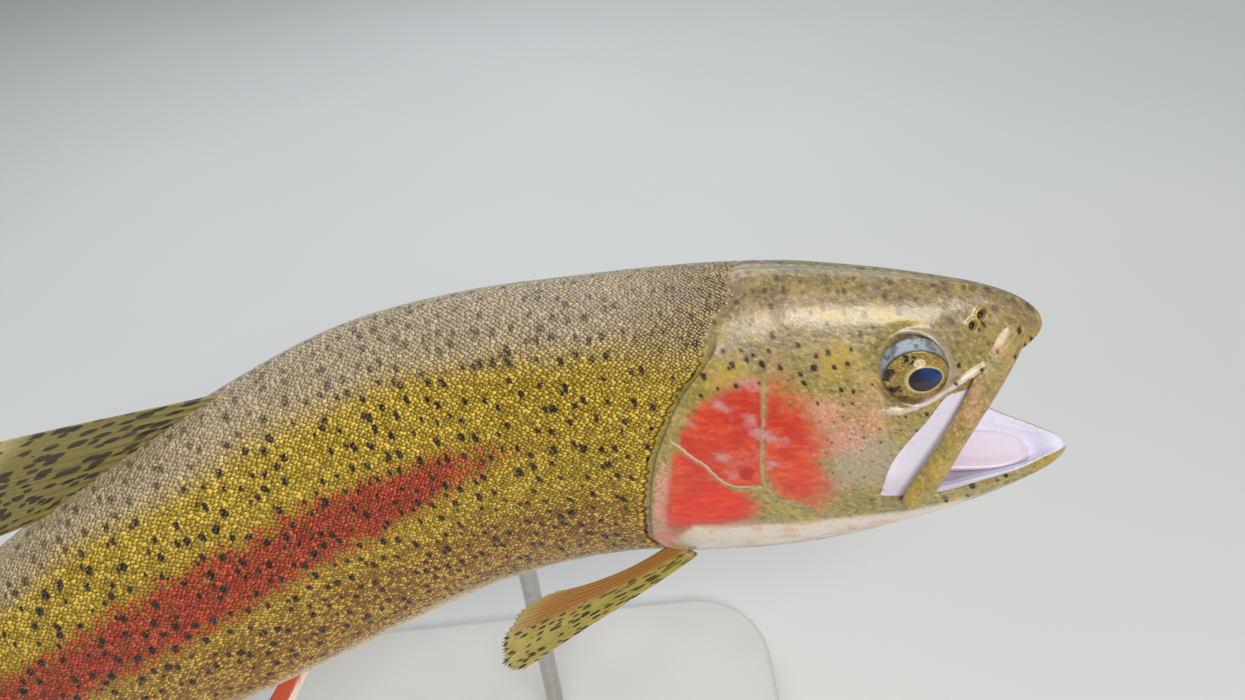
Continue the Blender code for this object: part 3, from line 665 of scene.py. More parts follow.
def refine_near_eyes(shape, layer):
    """Cuts the skin finer round the eyes and nostrils."""
    place = read_layer(shape, layer)
    kind = place[:, 2]
    outer = kind == UPPER
    points = np.zeros((len(place), 3))
    points[outer] = outer_points(place[outer, 0], place[outer, 1], kind[outer])[0]
    close = np.zeros(len(place), bool)
    for side in (1, -1):
        reach, _, height, _ = orbit_reach(points, side)
        close |= outer & (reach < ORBIT + 2.5) & (reach > ORBIT - 2) & (height > -2)
    off = from_pit(points[:, 0], points[:, 2], np.mean(NOSTRILS, axis=0))
    close |= outer & (off < 3.2)
    shape.verts.index_update()
    edges = [e for e in shape.edges if close[e.verts[0].index] and close[e.verts[1].index]]
    bmesh.ops.subdivide_edges(shape, edges=edges, cuts=2, use_grid_fill=True)


def map_skin(shape, layer):
    """The OFBake map: the flank unrolled along its rows, and the mouth's parts in a strip below."""
    place = read_layer(shape, layer)
    row, across, kind = place.T
    plain = np.round(kind % 10).astype(int)
    along = .01 + .98 * row / (len(ROWS) - 1)
    v = np.where(plain == UPPER, .57 + .42 * (across + 1) / 2, .17 + .38 * (across + 1) / 2)
    mouth_rows = CORNER_ROW + THROAT_ROWS
    in_lining = (plain == PALATE) | (plain == FLOOR)
    along = np.where(in_lining, np.where(plain == PALATE, .01, .51) + .46 * row / mouth_rows, along)
    v = np.where(in_lining, .085 + .075 * (across + 1) / 2, v)
    small = plain >= MAXILLA
    cell = (plain - MAXILLA) * 2 + (kind >= 10)
    along = np.where(small, .01 + .165 * cell + .15 * row, along)
    v = np.where(small, .005 + .07 * (across / math.pi + 1) / 2, v)
    texture = shape.loops.layers.uv.new("OFBake")
    for vert, s, t in zip(shape.verts, along, v):
        for loop in vert.link_loops:
            loop[texture].uv = (s, t)


def write_vectors(mesh, name, values):
    made = mesh.attributes.new(name, "FLOAT_VECTOR", "POINT")
    made.data.foreach_set("vector", np.ascontiguousarray(values, np.float32).ravel())


def flat_place(u, angle, side):
    """Metres along the body and round it, for markings that must not stretch."""
    angles = np.linspace(0, math.pi, 61)
    places = np.linspace(0, .905, 60)
    ring = surface(places[:, None], angles[None, :])
    steps = np.linalg.norm(np.diff(ring, axis=1), axis=-1)
    arc = np.concatenate([np.zeros((len(places), 1)), np.cumsum(steps, 1)], 1)
    i = np.clip(u / places[-1] * (len(places) - 1), 0, len(places) - 1.001)
    j = np.clip(angle / math.pi * 60, 0, 59.999)
    a, b = i.astype(int), j.astype(int)
    s, t = i - a, j - b
    round_way = ((arc[a, b] * (1 - s) + arc[a + 1, b] * s) * (1 - t)
                 + (arc[a, b + 1] * (1 - s) + arc[a + 1, b + 1] * s) * t)
    return u * TOTAL_LENGTH, round_way * TOTAL_LENGTH * side + .011 * side


FIELDS = ("tones", "reds", "lights", "lines", "weights")


def write_marks(mesh, found, along, around):
    for name in FIELDS:
        write_vectors(mesh, name, found[name])
    write_vectors(mesh, "flat", np.stack([along, around, found["spots"]], -1))


def mark_skin(mesh, place):
    """Writes the skin's masks; the mouth's lining, the maxilla and the tongue have their own."""
    row, across, kind = place.T
    plain = np.round(kind % 10).astype(int)
    rim = (np.abs(across) > .999) & (row < CORNER_ROW + .5) & (plain <= FLOOR)
    plain = np.where(rim & (plain >= PALATE), plain - PALATE, plain)
    outer = plain <= LOWER
    u, angle, side = np.full(len(place), .05), np.full(len(place), 1.9), np.ones(len(place))
    _, u[outer], angle[outer], side[outer] = outer_points(row[outer], across[outer], plain[outer])
    straight = skin_points(place)
    u[~outer] = np.clip(straight[~outer, 0], .001, None)
    side[~outer] = np.where(straight[~outer, 1] < 0, -1, 1)
    found = marks(u, angle, True)
    tones, reds, lights, spots = (found[name] for name in ("tones", "reds", "lights", "spots"))
    lining = (plain == PALATE) | (plain == FLOOR) | (plain == WEB) | (plain == TONGUE)
    deep = ramp(u, .05, .06)
    deep = np.where(plain == WEB, .0, np.where(plain == TONGUE, .30 + .3 * deep, deep * .25))
    cheek_side = .5 + .5 * np.cos(across)
    web = ease((row - .07 - .20 * cheek_side) / .06) * (1 - .42 * ramp(row, .82, .10))
    inside = np.where((plain == WEB) & (np.sin(across) > -.05), web, 1)
    lights[lining] = np.stack([inside, deep, 0 * u], -1)[lining]
    lights[rim, 0] = .5
    bone = plain == MAXILLA
    strap = row[bone]
    golden = .22 + .38 * ramp(strap, .40, .3)
    lights[bone] = np.stack([-.45 * bell(strap - .30, .15), golden, 0 * strap], -1)
    tones[~outer] = (-.1, 0, 1)
    tones[bone, 0] = .62
    reds[~outer] = (0, 0, .18)
    reds[bone, 2] = .18 + .24 * bell(row[bone] - .48, .14)
    found["weights"][~outer] = 0
    spots[lining] = 0
    spots[bone] = .75 * (1 - ease((row[bone] - .18) / .15))
    for one_side in (1, -1):
        reach, _, height, _ = orbit_reach(straight, one_side)
        near = outer & (height > -3) & (side == one_side)
        clear = np.where(near, ease((reach - ORBIT - 1.6) / 1.5), 1)
        spots *= clear
        lights[:, 1] *= np.where(outer, clear, 1)
        below = ease((u - EYE[0] + .010) / .010) * ease((EYE[2] + .012 - straight[:, 2]) / .012)
        shadow = below * (1 - ease((reach - ORBIT - 1) / 2.4))
        lights[:, 1] -= np.where(near, .64 * shadow, 0)
        ring = np.where(near, bell(reach - ORBIT - .8, 1.2), 0) * ease((EYE[0] + .004 - u) / .006)
        lights[:, 0] = np.where(ring > .05, np.minimum(lights[:, 0], -.8 * ring), lights[:, 0])
    along, around = flat_place(u, angle, side)
    write_marks(mesh, found, along, np.where(outer, around, straight[:, 2] * TOTAL_LENGTH))


def in_scene(name, data):
    made = bpy.data.objects.new(name, data)
    bpy.context.scene.collection.objects.link(made)
    return made


def new_object(name, shape):
    mesh = bpy.data.meshes.new(name)
    shape.to_mesh(mesh)
    shape.free()
    mesh.shade_smooth()
    return in_scene(name, mesh)


def build_skin():
    """One skin for all of the fish's flesh, with its mouth open to the throat."""
    shape = bmesh.new()
    layer = shape.verts.layers.float_vector.new("place")
    add_sheet(shape, layer, UPPER, len(ROWS), 128)
    add_sheet(shape, layer, LOWER, len(ROWS), 84)
    refine_near_eyes(shape, layer)
    mouth_rows = CORNER_ROW + 1 + THROAT_ROWS
    add_sheet(shape, layer, PALATE, mouth_rows, 44)
    add_sheet(shape, layer, FLOOR, mouth_rows, 44)
    for offset in (0, 10):
        add_closed(shape, layer, MAXILLA + offset, 44, 24)
        add_closed(shape, layer, WEB + offset, 30, 20)
    add_closed(shape, layer, TONGUE, 30, 28)
    map_skin(shape, layer)
    place_vertices(shape, skin_points(read_layer(shape, layer)))
    bmesh.ops.remove_doubles(shape, verts=shape.verts, dist=3e-5)
    bmesh.ops.dissolve_degenerate(shape, edges=shape.edges, dist=1e-6)
    last = len(ROWS) - 1.01
    bmesh.ops.holes_fill(shape, edges=[e for e in shape.edges if e.is_boundary
                                       and all(v[layer][0] > last for v in e.verts)])
    shape.normal_update()
    bmesh.ops.recalc_face_normals(shape, faces=shape.faces)
    place = read_layer(shape, layer)
    shape.verts.layers.float_vector.remove(layer)
    skin = new_object("trout_skin", shape)
    mark_skin(skin.data, place)
    return skin


# ---- Scales -------------------------------------------------------------------------------

ROOT_SEED, SCALE_SEED, TOOTH_SEED = 7, 11, 3
FIRST_SCALE = .130             # place where the scales' first row may stand
FULL_ARC = 130                 # mm from back to belly from which scales have their full size
MOST_ROWS = 120                # rows of scales above the middle of the flank, or below it
BELLY_START = .222             # no scales on the throat ahead of this place


def scale_template():
    """One scale as a closed domed plate 2 units across, its free edge at +x, and its middles."""
    shape = bmesh.new()
    bmesh.ops.create_circle(shape, cap_ends=True, segments=8, radius=1)
    made = bmesh.ops.poke(shape, faces=list(shape.faces))
    made["verts"][0].co = (.22, 0, .55)
    bmesh.ops.contextual_create(shape, geom=[e for e in shape.edges if e.is_boundary])
    bmesh.ops.triangulate(shape, faces=[f for f in shape.faces if len(f.verts) > 3])
    bmesh.ops.recalc_face_normals(shape, faces=shape.faces)
    shape.verts.index_update()
    points = np.array([v.co[:] for v in shape.verts])
    faces = np.array([[v.index for v in f.verts] for f in shape.faces])
    shape.free()
    return points, faces


def scale_roots(sizes):
    """Where scales grow: place, angle, side and size (half length and width, mm) of each.

    Rows run along the body, close up towards the tail and end at the back and the belly.
    """
    draw = np.random.default_rng(ROOT_SEED)
    angles = np.linspace(0, math.pi, 241)
    found = []
    u, column = FIRST_SCALE, 0
    while u < SKIN_END - .008:
        ring = surface(u, angles)
        arc = np.concatenate([[0], np.cumsum(np.linalg.norm(np.diff(ring, axis=0), axis=1))]) * MM
        shrink = max(min(arc[-1] / FULL_ARC, 1), .3) ** .42 * (.72 + .28 * ramp(u, .145, .11))
        length, width = sizes.scale_length * 1000 * shrink, sizes.scale_width * 1000 * shrink
        middle = np.interp(angle_at(u, .017 * fade(u, .4, .48)), angles, arc)
        steps = np.arange(-MOST_ROWS, MOST_ROWS + 1) + (.5 if column % 2 else 0)
        for side in (1, -1):
            at = middle + steps * width
            at = at[(at > (-.1 if side > 0 else .35) * width) & (at < arc[-1] - .05 * width)]
            count = len(at)
            angle = np.interp(at, arc, angles) + np.minimum(at, 0) / arc[-1] * 3
            found.append(np.stack([u + draw.normal(0, .11 * length / MM, count),
                                   angle + draw.normal(0, .10 * width / arc[-1] * 3, count),
                                   np.full(count, side), np.full(count, length),
                                   np.full(count, width), draw.exponential(.0022, count)], -1))
        u += length / MM / 2
        column += 1
    found = np.concatenate(found)
    start = scale_start(found[:, 1]) + 2.5 * found[:, 5] * (1 - ease((found[:, 1] - .4) / .4))
    start = np.where(found[:, 1] > 2.55, np.maximum(start, BELLY_START), start)
    return found[found[:, 0] > start]


def scale_piece(name, roots, sizes, draw):
    """Joined scales: the template is laid over the body at every root, lifting towards its edge."""
    template, faces = scale_template()
    count, size = len(roots), len(template)
    u, angle, side, length, width = (roots[:, k][:, None] for k in range(5))
    turn = draw.normal(0, .18, (count, 1))
    grow = 1 + draw.normal(0, .10, (count, 1))
    x, y, z = template.T[:, None, :]
    ahead = (x * np.cos(turn) - y * np.sin(turn)) * length * .88 * grow
    over = (x * np.sin(turn) + y * np.cos(turn)) * width * .66 * grow
    step = .01
    speed = np.linalg.norm(surface(u, angle + step) - surface(u, angle - step), axis=-1)
    speed = speed / (2 * step) * MM
    place = np.clip(u + ahead / MM, 0, SKIN_END - .0005)
    around = angle + over / speed
    flatter = .50 + .50 * ramp(u, .17, .15)
    lift = (sizes.scale_lift * 1000) * (x * .5 + draw.normal(0, .10, (count, 1))) * flatter
    distance = -SCALED_SINK + .13 + lift + z * .20 * np.sqrt(width / 1.6) * flatter
    distance = distance - .26 * (z <= 0) * (x < .2)
    tail = 1 - ramp(place, .86, .04) * .55
    points = outward(place, around, distance * tail)
    points[..., 1] *= side
    mesh = bpy.data.meshes.new(name)
    copies = (faces[None] + (np.arange(count) * size)[:, None, None]).reshape(-1, 3)
    where = posed(points.reshape(-1, 3))
    flip = np.repeat(roots[:, 2] < 0, len(faces))
    copies[flip] = copies[flip][:, ::-1]
    mesh.from_pydata(where, [], copies)
    mesh.shade_smooth()
    u, angle, side = (np.broadcast_to(v, place.shape).ravel() for v in (place, around, side))
    write_marks(mesh, marks(u, angle, False), *flat_place(u, angle, side))
    # The scale attribute: nearness to the scale's middle, which the shader uses for painted shade
    # at the rims and painted light on the back and nape, then two random values for each scale.
    middle = np.clip(1.15 - np.hypot(x - .15, y) ** 2, 0, 1)
    chance = np.broadcast_to(draw.random((count, 1)), place.shape)
    sheen = np.broadcast_to(draw.random((count, 1)), place.shape)
    shade = np.stack([np.broadcast_to(middle, place.shape), chance, sheen], -1)
    write_vectors(mesh, "scale", shade.reshape(-1, 3))
    low, high = roots[:, :2].min(0), roots[:, :2].max(0)
    root_map = .02 + .96 * (roots[:, :2] - low) / (high - low)
    patch = root_map[:, None] + template[None, :, :2] * .0015
    texture = mesh.uv_layers.new(name="OFBake")
    texture.data.foreach_set("uv", patch.reshape(-1, 2)[copies.ravel()].astype(np.float32).ravel())
    return in_scene(name, mesh)


def build_scales(sizes):
    """The scale coat in ten pieces, five along each side."""
    draw = np.random.default_rng(SCALE_SEED)
    roots = scale_roots(sizes)
    limits = (0, .285, .400, .530, .680, 1)
    parts = ("shoulder", "fore", "middle", "rear", "tail")
    pieces = []
    for side, label in ((1, "right"), (-1, "left")):
        for start, end, part in zip(limits[:-1], limits[1:], parts):
            chosen = roots[(roots[:, 2] == side) & (roots[:, 0] >= start) & (roots[:, 0] < end)]
            pieces.append(scale_piece(f"scales_{part}_{label}", chosen, sizes, draw))
    return pieces


# ---- Eyes and teeth -----------------------------------------------------------------------

IRIS_RADIUS = 7.9              # mm
PUPIL_RADIUS = 3.8             # mm
PUPIL_CENTRE = (1.7, -1.0)     # mm ahead of the iris's centre, and above it
PUPIL_SHARE = .35              # shares of the ball that make the pupil, and the pupil with the iris
IRIS_SHARE = .70
BALL_REACH = 1.25              # angle from the ball's pole that counts as a share of one
EYE_BACK_SHRINK = .22          # keeps the globe's hidden half above the roof of the mouth
CORNEA_ANGLE = 57.5            # degrees from the eye's axis to the rim of its clear dome


def eye_points(side, along, rise, height):
    """World points of an eye from mm ahead of its axis, above it and out along it."""
    centre, out, ahead, up = eye_frame(side)
    straight = centre + ahead * along[:, None] + up * rise[:, None] + out * height[:, None]
    return posed(straight / MM)


def ball(name, points_of, attribute):
    """A ball reshaped by a function of the angle from its pole and the angle round it."""
    shape = bmesh.new()
    bmesh.ops.create_uvsphere(shape, u_segments=72, v_segments=80, radius=1)
    at = np.array([v.co[:] for v in shape.verts])
    fall = np.arccos(np.clip(at[:, 2], -1, 1))
    turn = np.arctan2(at[:, 1], at[:, 0])
    points, values = points_of(fall, turn)
    for vert, point in zip(shape.verts, points):
        vert.co = point
    shape.normal_update()
    bmesh.ops.recalc_face_normals(shape, faces=shape.faces)
    made = new_object(name, shape)
    write_vectors(made.data, attribute, values)
    return made


def pupil_reach(turn):
    """The pupil's outline: round, with a blunt point ahead."""
    return PUPIL_RADIUS * (1 + .20 * np.clip(np.cos(turn - .1), 0, 1) ** 4)


def eyeball(side, label):
    """Globe with a flat iris and the lens standing in the pupil."""
    rim = math.asin(IRIS_RADIUS / EYE_RADIUS)
    flat = math.sqrt(EYE_RADIUS ** 2 - IRIS_RADIUS ** 2)

    def points_of(fall, turn):
        share = fall / BALL_REACH
        lens_part = share / PUPIL_SHARE
        iris_part = np.clip((share - PUPIL_SHARE) / PUPIL_SHARE, 0, 1)
        pupil = pupil_reach(turn)
        behind = (share - IRIS_SHARE) / (math.pi / BALL_REACH - IRIS_SHARE)
        angle = rim + (math.pi - rim) * np.clip(behind, 0, 1)
        in_pupil, on_iris = share < PUPIL_SHARE, share < IRIS_SHARE
        spread = np.where(in_pupil, pupil * lens_part,
                          pupil + (IRIS_RADIUS - pupil) * iris_part)
        offset = 1 - iris_part
        along = PUPIL_CENTRE[0] * offset + spread * np.cos(turn)
        rise = PUPIL_CENTRE[1] * offset + spread * np.sin(turn)
        radius = EYE_RADIUS * (1 - EYE_BACK_SHRINK * ramp(angle, 1.40, .45))
        globe = radius * np.sin(angle)
        along = np.where(on_iris, along, globe * np.cos(turn))
        rise = np.where(on_iris, rise, globe * np.sin(turn))
        lens = flat + .30 + quarter(lens_part)
        iris = flat + .55 * (1 - iris_part) ** .8 - .25 * bell(iris_part, .05)
        height = np.where(in_pupil, lens, np.where(on_iris, iris, radius * np.cos(angle)))
        zone = np.where(in_pupil, lens_part - 1, iris_part)
        zone = np.where(on_iris, zone, 1 + angle - rim)
        values = np.stack([zone, np.cos(turn), np.sin(turn)], -1)
        return eye_points(side, along, rise, height), values
    return ball("eyeball_" + label, points_of, "eye")


def cornea(side, label):
    """The clear dome over the iris: a thin closed lens."""
    def points_of(fall, turn):
        outer = fall < math.pi / 2
        share = np.where(outer, fall, math.pi - fall) / (math.pi / 2)
        angle = share * math.radians(CORNEA_ANGLE)
        radius = EYE_RADIUS + np.where(outer, .30, .14) * np.cos(share * math.pi / 2) + .02
        reach = radius * np.sin(angle)
        values = np.stack([share, np.cos(turn), np.sin(turn)], -1)
        return eye_points(side, reach * np.cos(turn), reach * np.sin(turn),
                          radius * np.cos(angle)), values
    return ball("cornea_" + label, points_of, "eye")


def build_teeth():
    """A few tiny pointed teeth inside the rim at the tip of the lower jaw."""
    shape = bmesh.new()
    draw = np.random.default_rng(TOOTH_SEED)
    rows = np.array([13, 18, 23, 28, 34])
    for side in (1, -1):
        for point in lining_points(rows, np.full(len(rows), side * .93), np.full(len(rows), FLOOR)):
            height = draw.uniform(.6, .9) / 1000
            cone = bmesh.ops.create_cone(shape, cap_ends=True, segments=8, radius1=.00022,
                                         radius2=.00004, depth=height)["verts"]
            tilt = Matrix.Rotation(math.radians(12 * side), 3, "X")
            bmesh.ops.rotate(shape, verts=cone, matrix=tilt)
            lifted = posed(point + np.array([0, 0, height / TOTAL_LENGTH * .25]))
            bmesh.ops.translate(shape, verts=cone, vec=Vector(lifted))
    return new_object("trout_teeth", shape)


# ---- Fins ---------------------------------------------------------------------------------

FIN_SINK = .006                # how deep the fins' roots start under the back and the belly
PAIRED_FIN_ROUNDING = .09      # how much shorter the outermost rays of a paired fin are
FIN_ROWS = 56                  # rows of a fin's sheet from root to tip
RAY_COLUMNS = 9                # columns of the sheet to each ray


def fan(roots, angles, lengths, lean=0.0):
    """Tips of rays in the middle plane; an angle is measured up from straight back."""
    turns = np.radians(angles)
    lengths = np.asarray(lengths)
    roots = np.asarray(roots, float)
    return roots + np.stack([lengths * np.cos(turns), lean * lengths, lengths * np.sin(turns)], -1)


def median_roots(places, edge_height, sink, count):
    return [(u, 0, float(edge_height(u)) - sink) for u in np.linspace(*places, count)]


MEDIAN_FINS = {
    # name: first and last root, edge, number of roots, ray angles, lengths, lean, rays, thickness
    "dorsal_fin": ((.426, .545), back, FIN_SINK, 5, (21, 19, 16, 13, 11),
                   (.128, .122, .104, .082, .060), .05, 13, 2.2),
    "adipose_fin": ((.708, .728), back, FIN_SINK, 3, (42, 34, 28), (.046, .048, .034), 0, 0, 3.0),
    "anal_fin": ((.668, .748), belly, -FIN_SINK, 5, (-58, -50, -42, -34, -26),
                 (.104, .098, .082, .064, .050), 0, 12, 2.2),
}
TAIL_RAYS = (.146, .143, .133, .124, .120, .124, .133, .143, .146)
PAIRED_FINS = {
    # name: roots, ray tips, sideways bow, number of rays
    "pectoral_fin": (((.2105, .046, -.091), (.216, .046, -.086), (.222, .044, -.080)),
                     ((.360, .092, -.114), (.366, .086, -.107), (.357, .078, -.098),
                      (.338, .069, -.090), (.312, .063, -.083)), (0, .004, -.006), 13),
    "pelvic_fin": (((.496, .020, -.091), (.506, .018, -.091), (.516, .016, -.090)),
                   ((.582, .046, -.139), (.593, .042, -.136), (.596, .037, -.130),
                    (.589, .031, -.123), (.576, .026, -.116)), (0, .002, -.002), 10),
}


def fin_layouts():
    """Each fin's roots, ray tips, sideways bow, number of rays and thickness at its root in mm."""
    layouts = {}
    for name, (*where, angles, lengths, lean, rays, thick) in MEDIAN_FINS.items():
        roots = median_roots(*where)
        layouts[name] = (roots, fan(roots, angles, lengths, lean), (0, 0, 0), rays, thick)
    roots = [(.874 - .006 * abs(z) / .04, 0, z) for z in np.linspace(.040, -.041, len(TAIL_RAYS))]
    tips = fan(roots, np.linspace(28, -28, len(TAIL_RAYS)), TAIL_RAYS)
    layouts["caudal_fin"] = (roots, tips, (0, 0, 0), 20, 3.2)
    for label, side in (("right", 1), ("left", -1)):
        flip = np.array([1, side, 1])
        for name, (roots, tips, bow, rays) in PAIRED_FINS.items():
            layouts[f"{name}_{label}"] = (roots * flip, tips * flip, tuple(bow * flip), rays, 2.2)
    return layouts


def fin_middle(roots, tips, bow, share, out):
    start = np.stack([np.interp(share, np.linspace(0, 1, len(roots)), np.asarray(roots)[:, k])
                      for k in range(3)], -1)
    out = out[..., None]
    return start + (smooth_line(tips, share) - start) * out + np.asarray(bow) * out * (1 - out) * 4


def build_fin(name, layout):
    """A closed rayed fin: both faces of one folded sheet, thin at its edges, with raised rays."""
    roots, tips, bow, rays, root_thick = layout
    draw = np.random.default_rng(sum(map(ord, name)))
    shape = bmesh.new()
    layers = [shape.verts.layers.float_vector.new(kept) for kept in ("ray", "fin")]
    columns = max(rays * RAY_COLUMNS, 24)
    made = bmesh.ops.create_grid(shape, x_segments=columns * 2, y_segments=FIN_ROWS,
                                 size=1)["verts"]
    flat = np.array([v.co[:] for v in made])
    share, out = np.abs(flat[:, 0]), (flat[:, 1] + 1) / 2
    out = 1 - (1 - out) ** 1.15
    face = np.sign(flat[:, 0])
    phase = share * max(rays - 1, 1)
    whole = .5 + .5 * np.cos(2 * math.pi * phase)
    split = .5 + .5 * np.cos(4 * math.pi * phase)
    ridge = (whole + (split - whole) * ramp(out, .45, .3)) ** 1.6
    uneven = draw.normal(0, .010, 60)
    fray = np.interp(phase, np.arange(60), uneven)
    reach = out * (1 + (fray - .022 * (1 - ridge)) * ramp(out, .55, .45) * (rays > 0))
    reach = reach * (1 - PAIRED_FIN_ROUNDING * np.any(bow) * (2 * np.abs(share - .5)) ** 5 * out)
    middle = fin_middle(roots, tips, bow, share, reach)
    step = 2e-3
    rise = fin_middle(roots, tips, bow, share, reach + step) - middle
    run = (fin_middle(roots, tips, bow, np.minimum(share + step, 1), reach)
           - fin_middle(roots, tips, bow, np.maximum(share - step, 0), reach))
    normal = unit(np.cross(run, rise))
    length = float(np.linalg.norm(np.asarray(tips)[0] - np.asarray(roots)[0])) * MM
    web = .15 + .30 * (1 - .55 * out) * ridge if rays else np.full(len(out), .55)
    half = web + (root_thick / 2 - .45) * (1 - ease(out / .38))
    edge = np.sqrt(1 - out ** 30) * np.sqrt(np.clip(1 - (2 * np.abs(share - .5)) ** 40, 0, 1))
    half = half * edge
    if rays:
        rippling = .45 * np.sin(phase * .9 + 2.2 * out) * ease(out * 1.5) * math.sqrt(length / 50)
        middle = middle + normal * rippling[:, None] / MM
    points = middle + normal * (half * face)[:, None] / MM
    for vert, point in zip(made, posed(points)):
        vert.co = point
    fields = (np.stack([phase, out * length, ridge], -1), np.stack([share, out, fray * 40], -1))
    for layer, values in zip(layers, fields):
        for vert, value in zip(made, values):
            vert[layer] = value
    bmesh.ops.remove_doubles(shape, verts=shape.verts, dist=2e-5)
    bmesh.ops.dissolve_degenerate(shape, edges=shape.edges, dist=1e-6)
    bmesh.ops.holes_fill(shape, edges=[e for e in shape.edges if e.is_boundary])
    bmesh.ops.recalc_face_normals(shape, faces=shape.faces)
    return new_object("trout_" + name, shape)


# ---- Materials ----------------------------------------------------------------------------

def linear(red, green, blue):
    """A colour given as 0 to 255 display values, for a shader."""
    return tuple((c / 255 / 12.92 if c <= 10 else ((c / 255 + .055) / 1.055) ** 2.4)
                 for c in (red, green, blue))


class Graph:
    """Adds nodes to a tree. An input is a plain value, or another node's output."""

    def __init__(self, tree):
        self.tree = tree
        tree.nodes.clear()

    def add(self, kind, inputs=(), **settings):
        node = self.tree.nodes.new("ShaderNode" + kind)
        for name, value in settings.items():
            setattr(node, name, value)
        for name, value in dict(inputs).items():
            self.feed(node.inputs[name], value)
        return node

    def feed(self, socket, value):
        if isinstance(value, bpy.types.NodeSocket):
            self.tree.links.new(value, socket)
        elif socket.type == "RGBA":
            socket.default_value = (*value[:3], 1)
        else:
            socket.default_value = value

    def math(self, operation, *values, clamp=False):
        node = self.add("Math", operation=operation, use_clamp=clamp)
        for socket, value in zip(node.inputs, values):
            self.feed(socket, value)
        return node.outputs[0]

    def smooth(self, value, low, high):
        """0 at low, 1 at high, eased between, whichever of them is the larger."""
        return self.add("MapRange", {"Value": value, "From Min": low, "From Max": high},
                        interpolation_type="SMOOTHSTEP").outputs["Result"]

    def times(self, first, second, clamp=False):
        return self.math("MULTIPLY", first, second, clamp=clamp)

    def plus(self, first, second):
        return self.math("ADD", first, second)

    def scaled(self, value, factor, offset, clamp=False):
        return self.math("MULTIPLY_ADD", value, factor, offset, clamp=clamp)

    def part(self, share, most):
        return self.times(share, most, clamp=True)

    def swing(self, value, width):
        """A noise value made to run as far below nothing as above it."""
        return self.scaled(value, width, -width / 2)

    def mix(self, share, first, second, blend="MIX"):
        """The second colour over the first. A plain colour is given as 0 to 255 display values."""
        first, second = (colour if isinstance(colour, bpy.types.NodeSocket) else linear(*colour)
                         for colour in (first, second))
        node = self.add("Mix", {0: share, 6: first, 7: second}, data_type="RGBA", blend_type=blend)
        return node.outputs[2]

    def wash(self, under, tint, value, low, high, most=1):
        """A tint over a colour, from none where the value is low to its most where it is high."""
        share = self.smooth(value, low, high)
        return self.mix(share if most == 1 else self.part(share, most), under, tint)

    def shaded(self, colour, shade):
        return self.mix(1.0, colour, self.vector(shade, shade, shade), "MULTIPLY")

    def noise(self, vector, scale, detail=2.0, roughness=.5):
        return self.add("TexNoise", {"Vector": vector, "Scale": scale, "Detail": detail,
                                     "Roughness": roughness}).outputs["Fac"]

    def parts(self, vector):
        return self.add("SeparateXYZ", {"Vector": vector}).outputs

    def vector(self, x=0.0, y=0.0, z=0.0):
        return self.add("CombineXYZ", {"X": x, "Y": y, "Z": z}).outputs[0]

    def attribute(self, name):
        return self.add("Attribute", attribute_name=name).outputs["Vector"]

    def object_place(self):
        return self.add("TexCoord").outputs["Object"]

    def moved(self, operation, first, second):
        return self.add("VectorMath", {0: first, 1: second}, operation=operation).outputs[0]

    def group(self, tree, **inputs):
        node = self.add("Group")
        node.node_tree = tree
        for name, value in inputs.items():
            self.feed(node.inputs[socket_name(name)], value)
        return node.outputs


SOCKETS = {"color": "NodeSocketColor", "value": "NodeSocketFloat", "vector": "NodeSocketVector"}


def new_group(name, inputs, outputs):
    """An empty node group with named sockets; gives its graph, its inputs and its output node."""
    tree = bpy.data.node_groups.new(name, "ShaderNodeTree")
    graph = Graph(tree)
    for way, sockets in (("INPUT", inputs), ("OUTPUT", outputs)):
        for socket, kind in sockets.items():
            tree.interface.new_socket(socket, in_out=way, socket_type=SOCKETS[kind])
    given = tree.nodes.new("NodeGroupInput")
    return graph, given.outputs, tree.nodes.new("NodeGroupOutput")


def speck_group():
    """Dark specks of uneven size in rows and clusters: how much each point lies inside one."""
    graph, given, out = new_group(
        "Specks", {"Place": "vector", "Spacing": "value", "Size": "value", "Ragged": "value"},
        {"Mask": "value", "Edge": "value"})
    fine = graph.add("TexNoise", {"Vector": given["Place"], "Scale": 420.0, "Detail": 2.0})
    shift = graph.moved("SUBTRACT", fine.outputs["Color"], (.5, .5, .5))
    shift = graph.add("VectorMath", {0: shift, "Scale": given["Ragged"]}, operation="SCALE")
    place = graph.moved("ADD", given["Place"], shift.outputs[0])
    place = graph.moved("MULTIPLY", place, (1.18, .86, 1))
    cells = graph.math("DIVIDE", 1.0, given["Spacing"])
    found = graph.add("TexVoronoi", {"Vector": place, "Scale": cells, "Exponent": 3.0,
                                     "Randomness": .92},
                      voronoi_dimensions="2D", distance="MINKOWSKI")
    chance = graph.parts(found.outputs["Color"])
    size = graph.times(graph.scaled(chance[0], .55, .60), given["Size"])
    reach = graph.times(size, graph.smooth(chance[1], .14, .18))
    inside = graph.math("SUBTRACT", reach, found.outputs["Distance"])
    graph.feed(out.inputs["Mask"], graph.smooth(inside, -.035, .045))
    graph.feed(out.inputs["Edge"], graph.smooth(inside, -.13, .0))
    return graph.tree


# Tints over the head's olive: the noise each follows, its start, its end, its most, its colour.
HEAD_MOTTLES = (
    ("patchy", .42, .68, .60, (182, 160, 84)), ("broad", .46, .66, .60, (116, 116, 44)),
    ("cloud", .50, .66, .50, (168, 142, 138)), ("grain", .50, .74, .55, (216, 194, 128)),
    ("grain", .47, .30, .65, (84, 74, 40)), ("grey", .20, .95, .75, (166, 156, 138)))
# The thin lines of the cheek, gill cover and its plates: half width in mm, most and colour.
HEAD_LINES = {"cheek": (1.05, .75, (236, 210, 206)), "ridge": (.60, .26, (236, 186, 168)),
              "seam": (.50, .60, (246, 214, 192))}
COLOURS = ("back", "flank", "glint", "stripe", "low_flank", "belly", "head", "cover", "speck")


def socket_name(name):
    return name.replace("_", " ").capitalize()


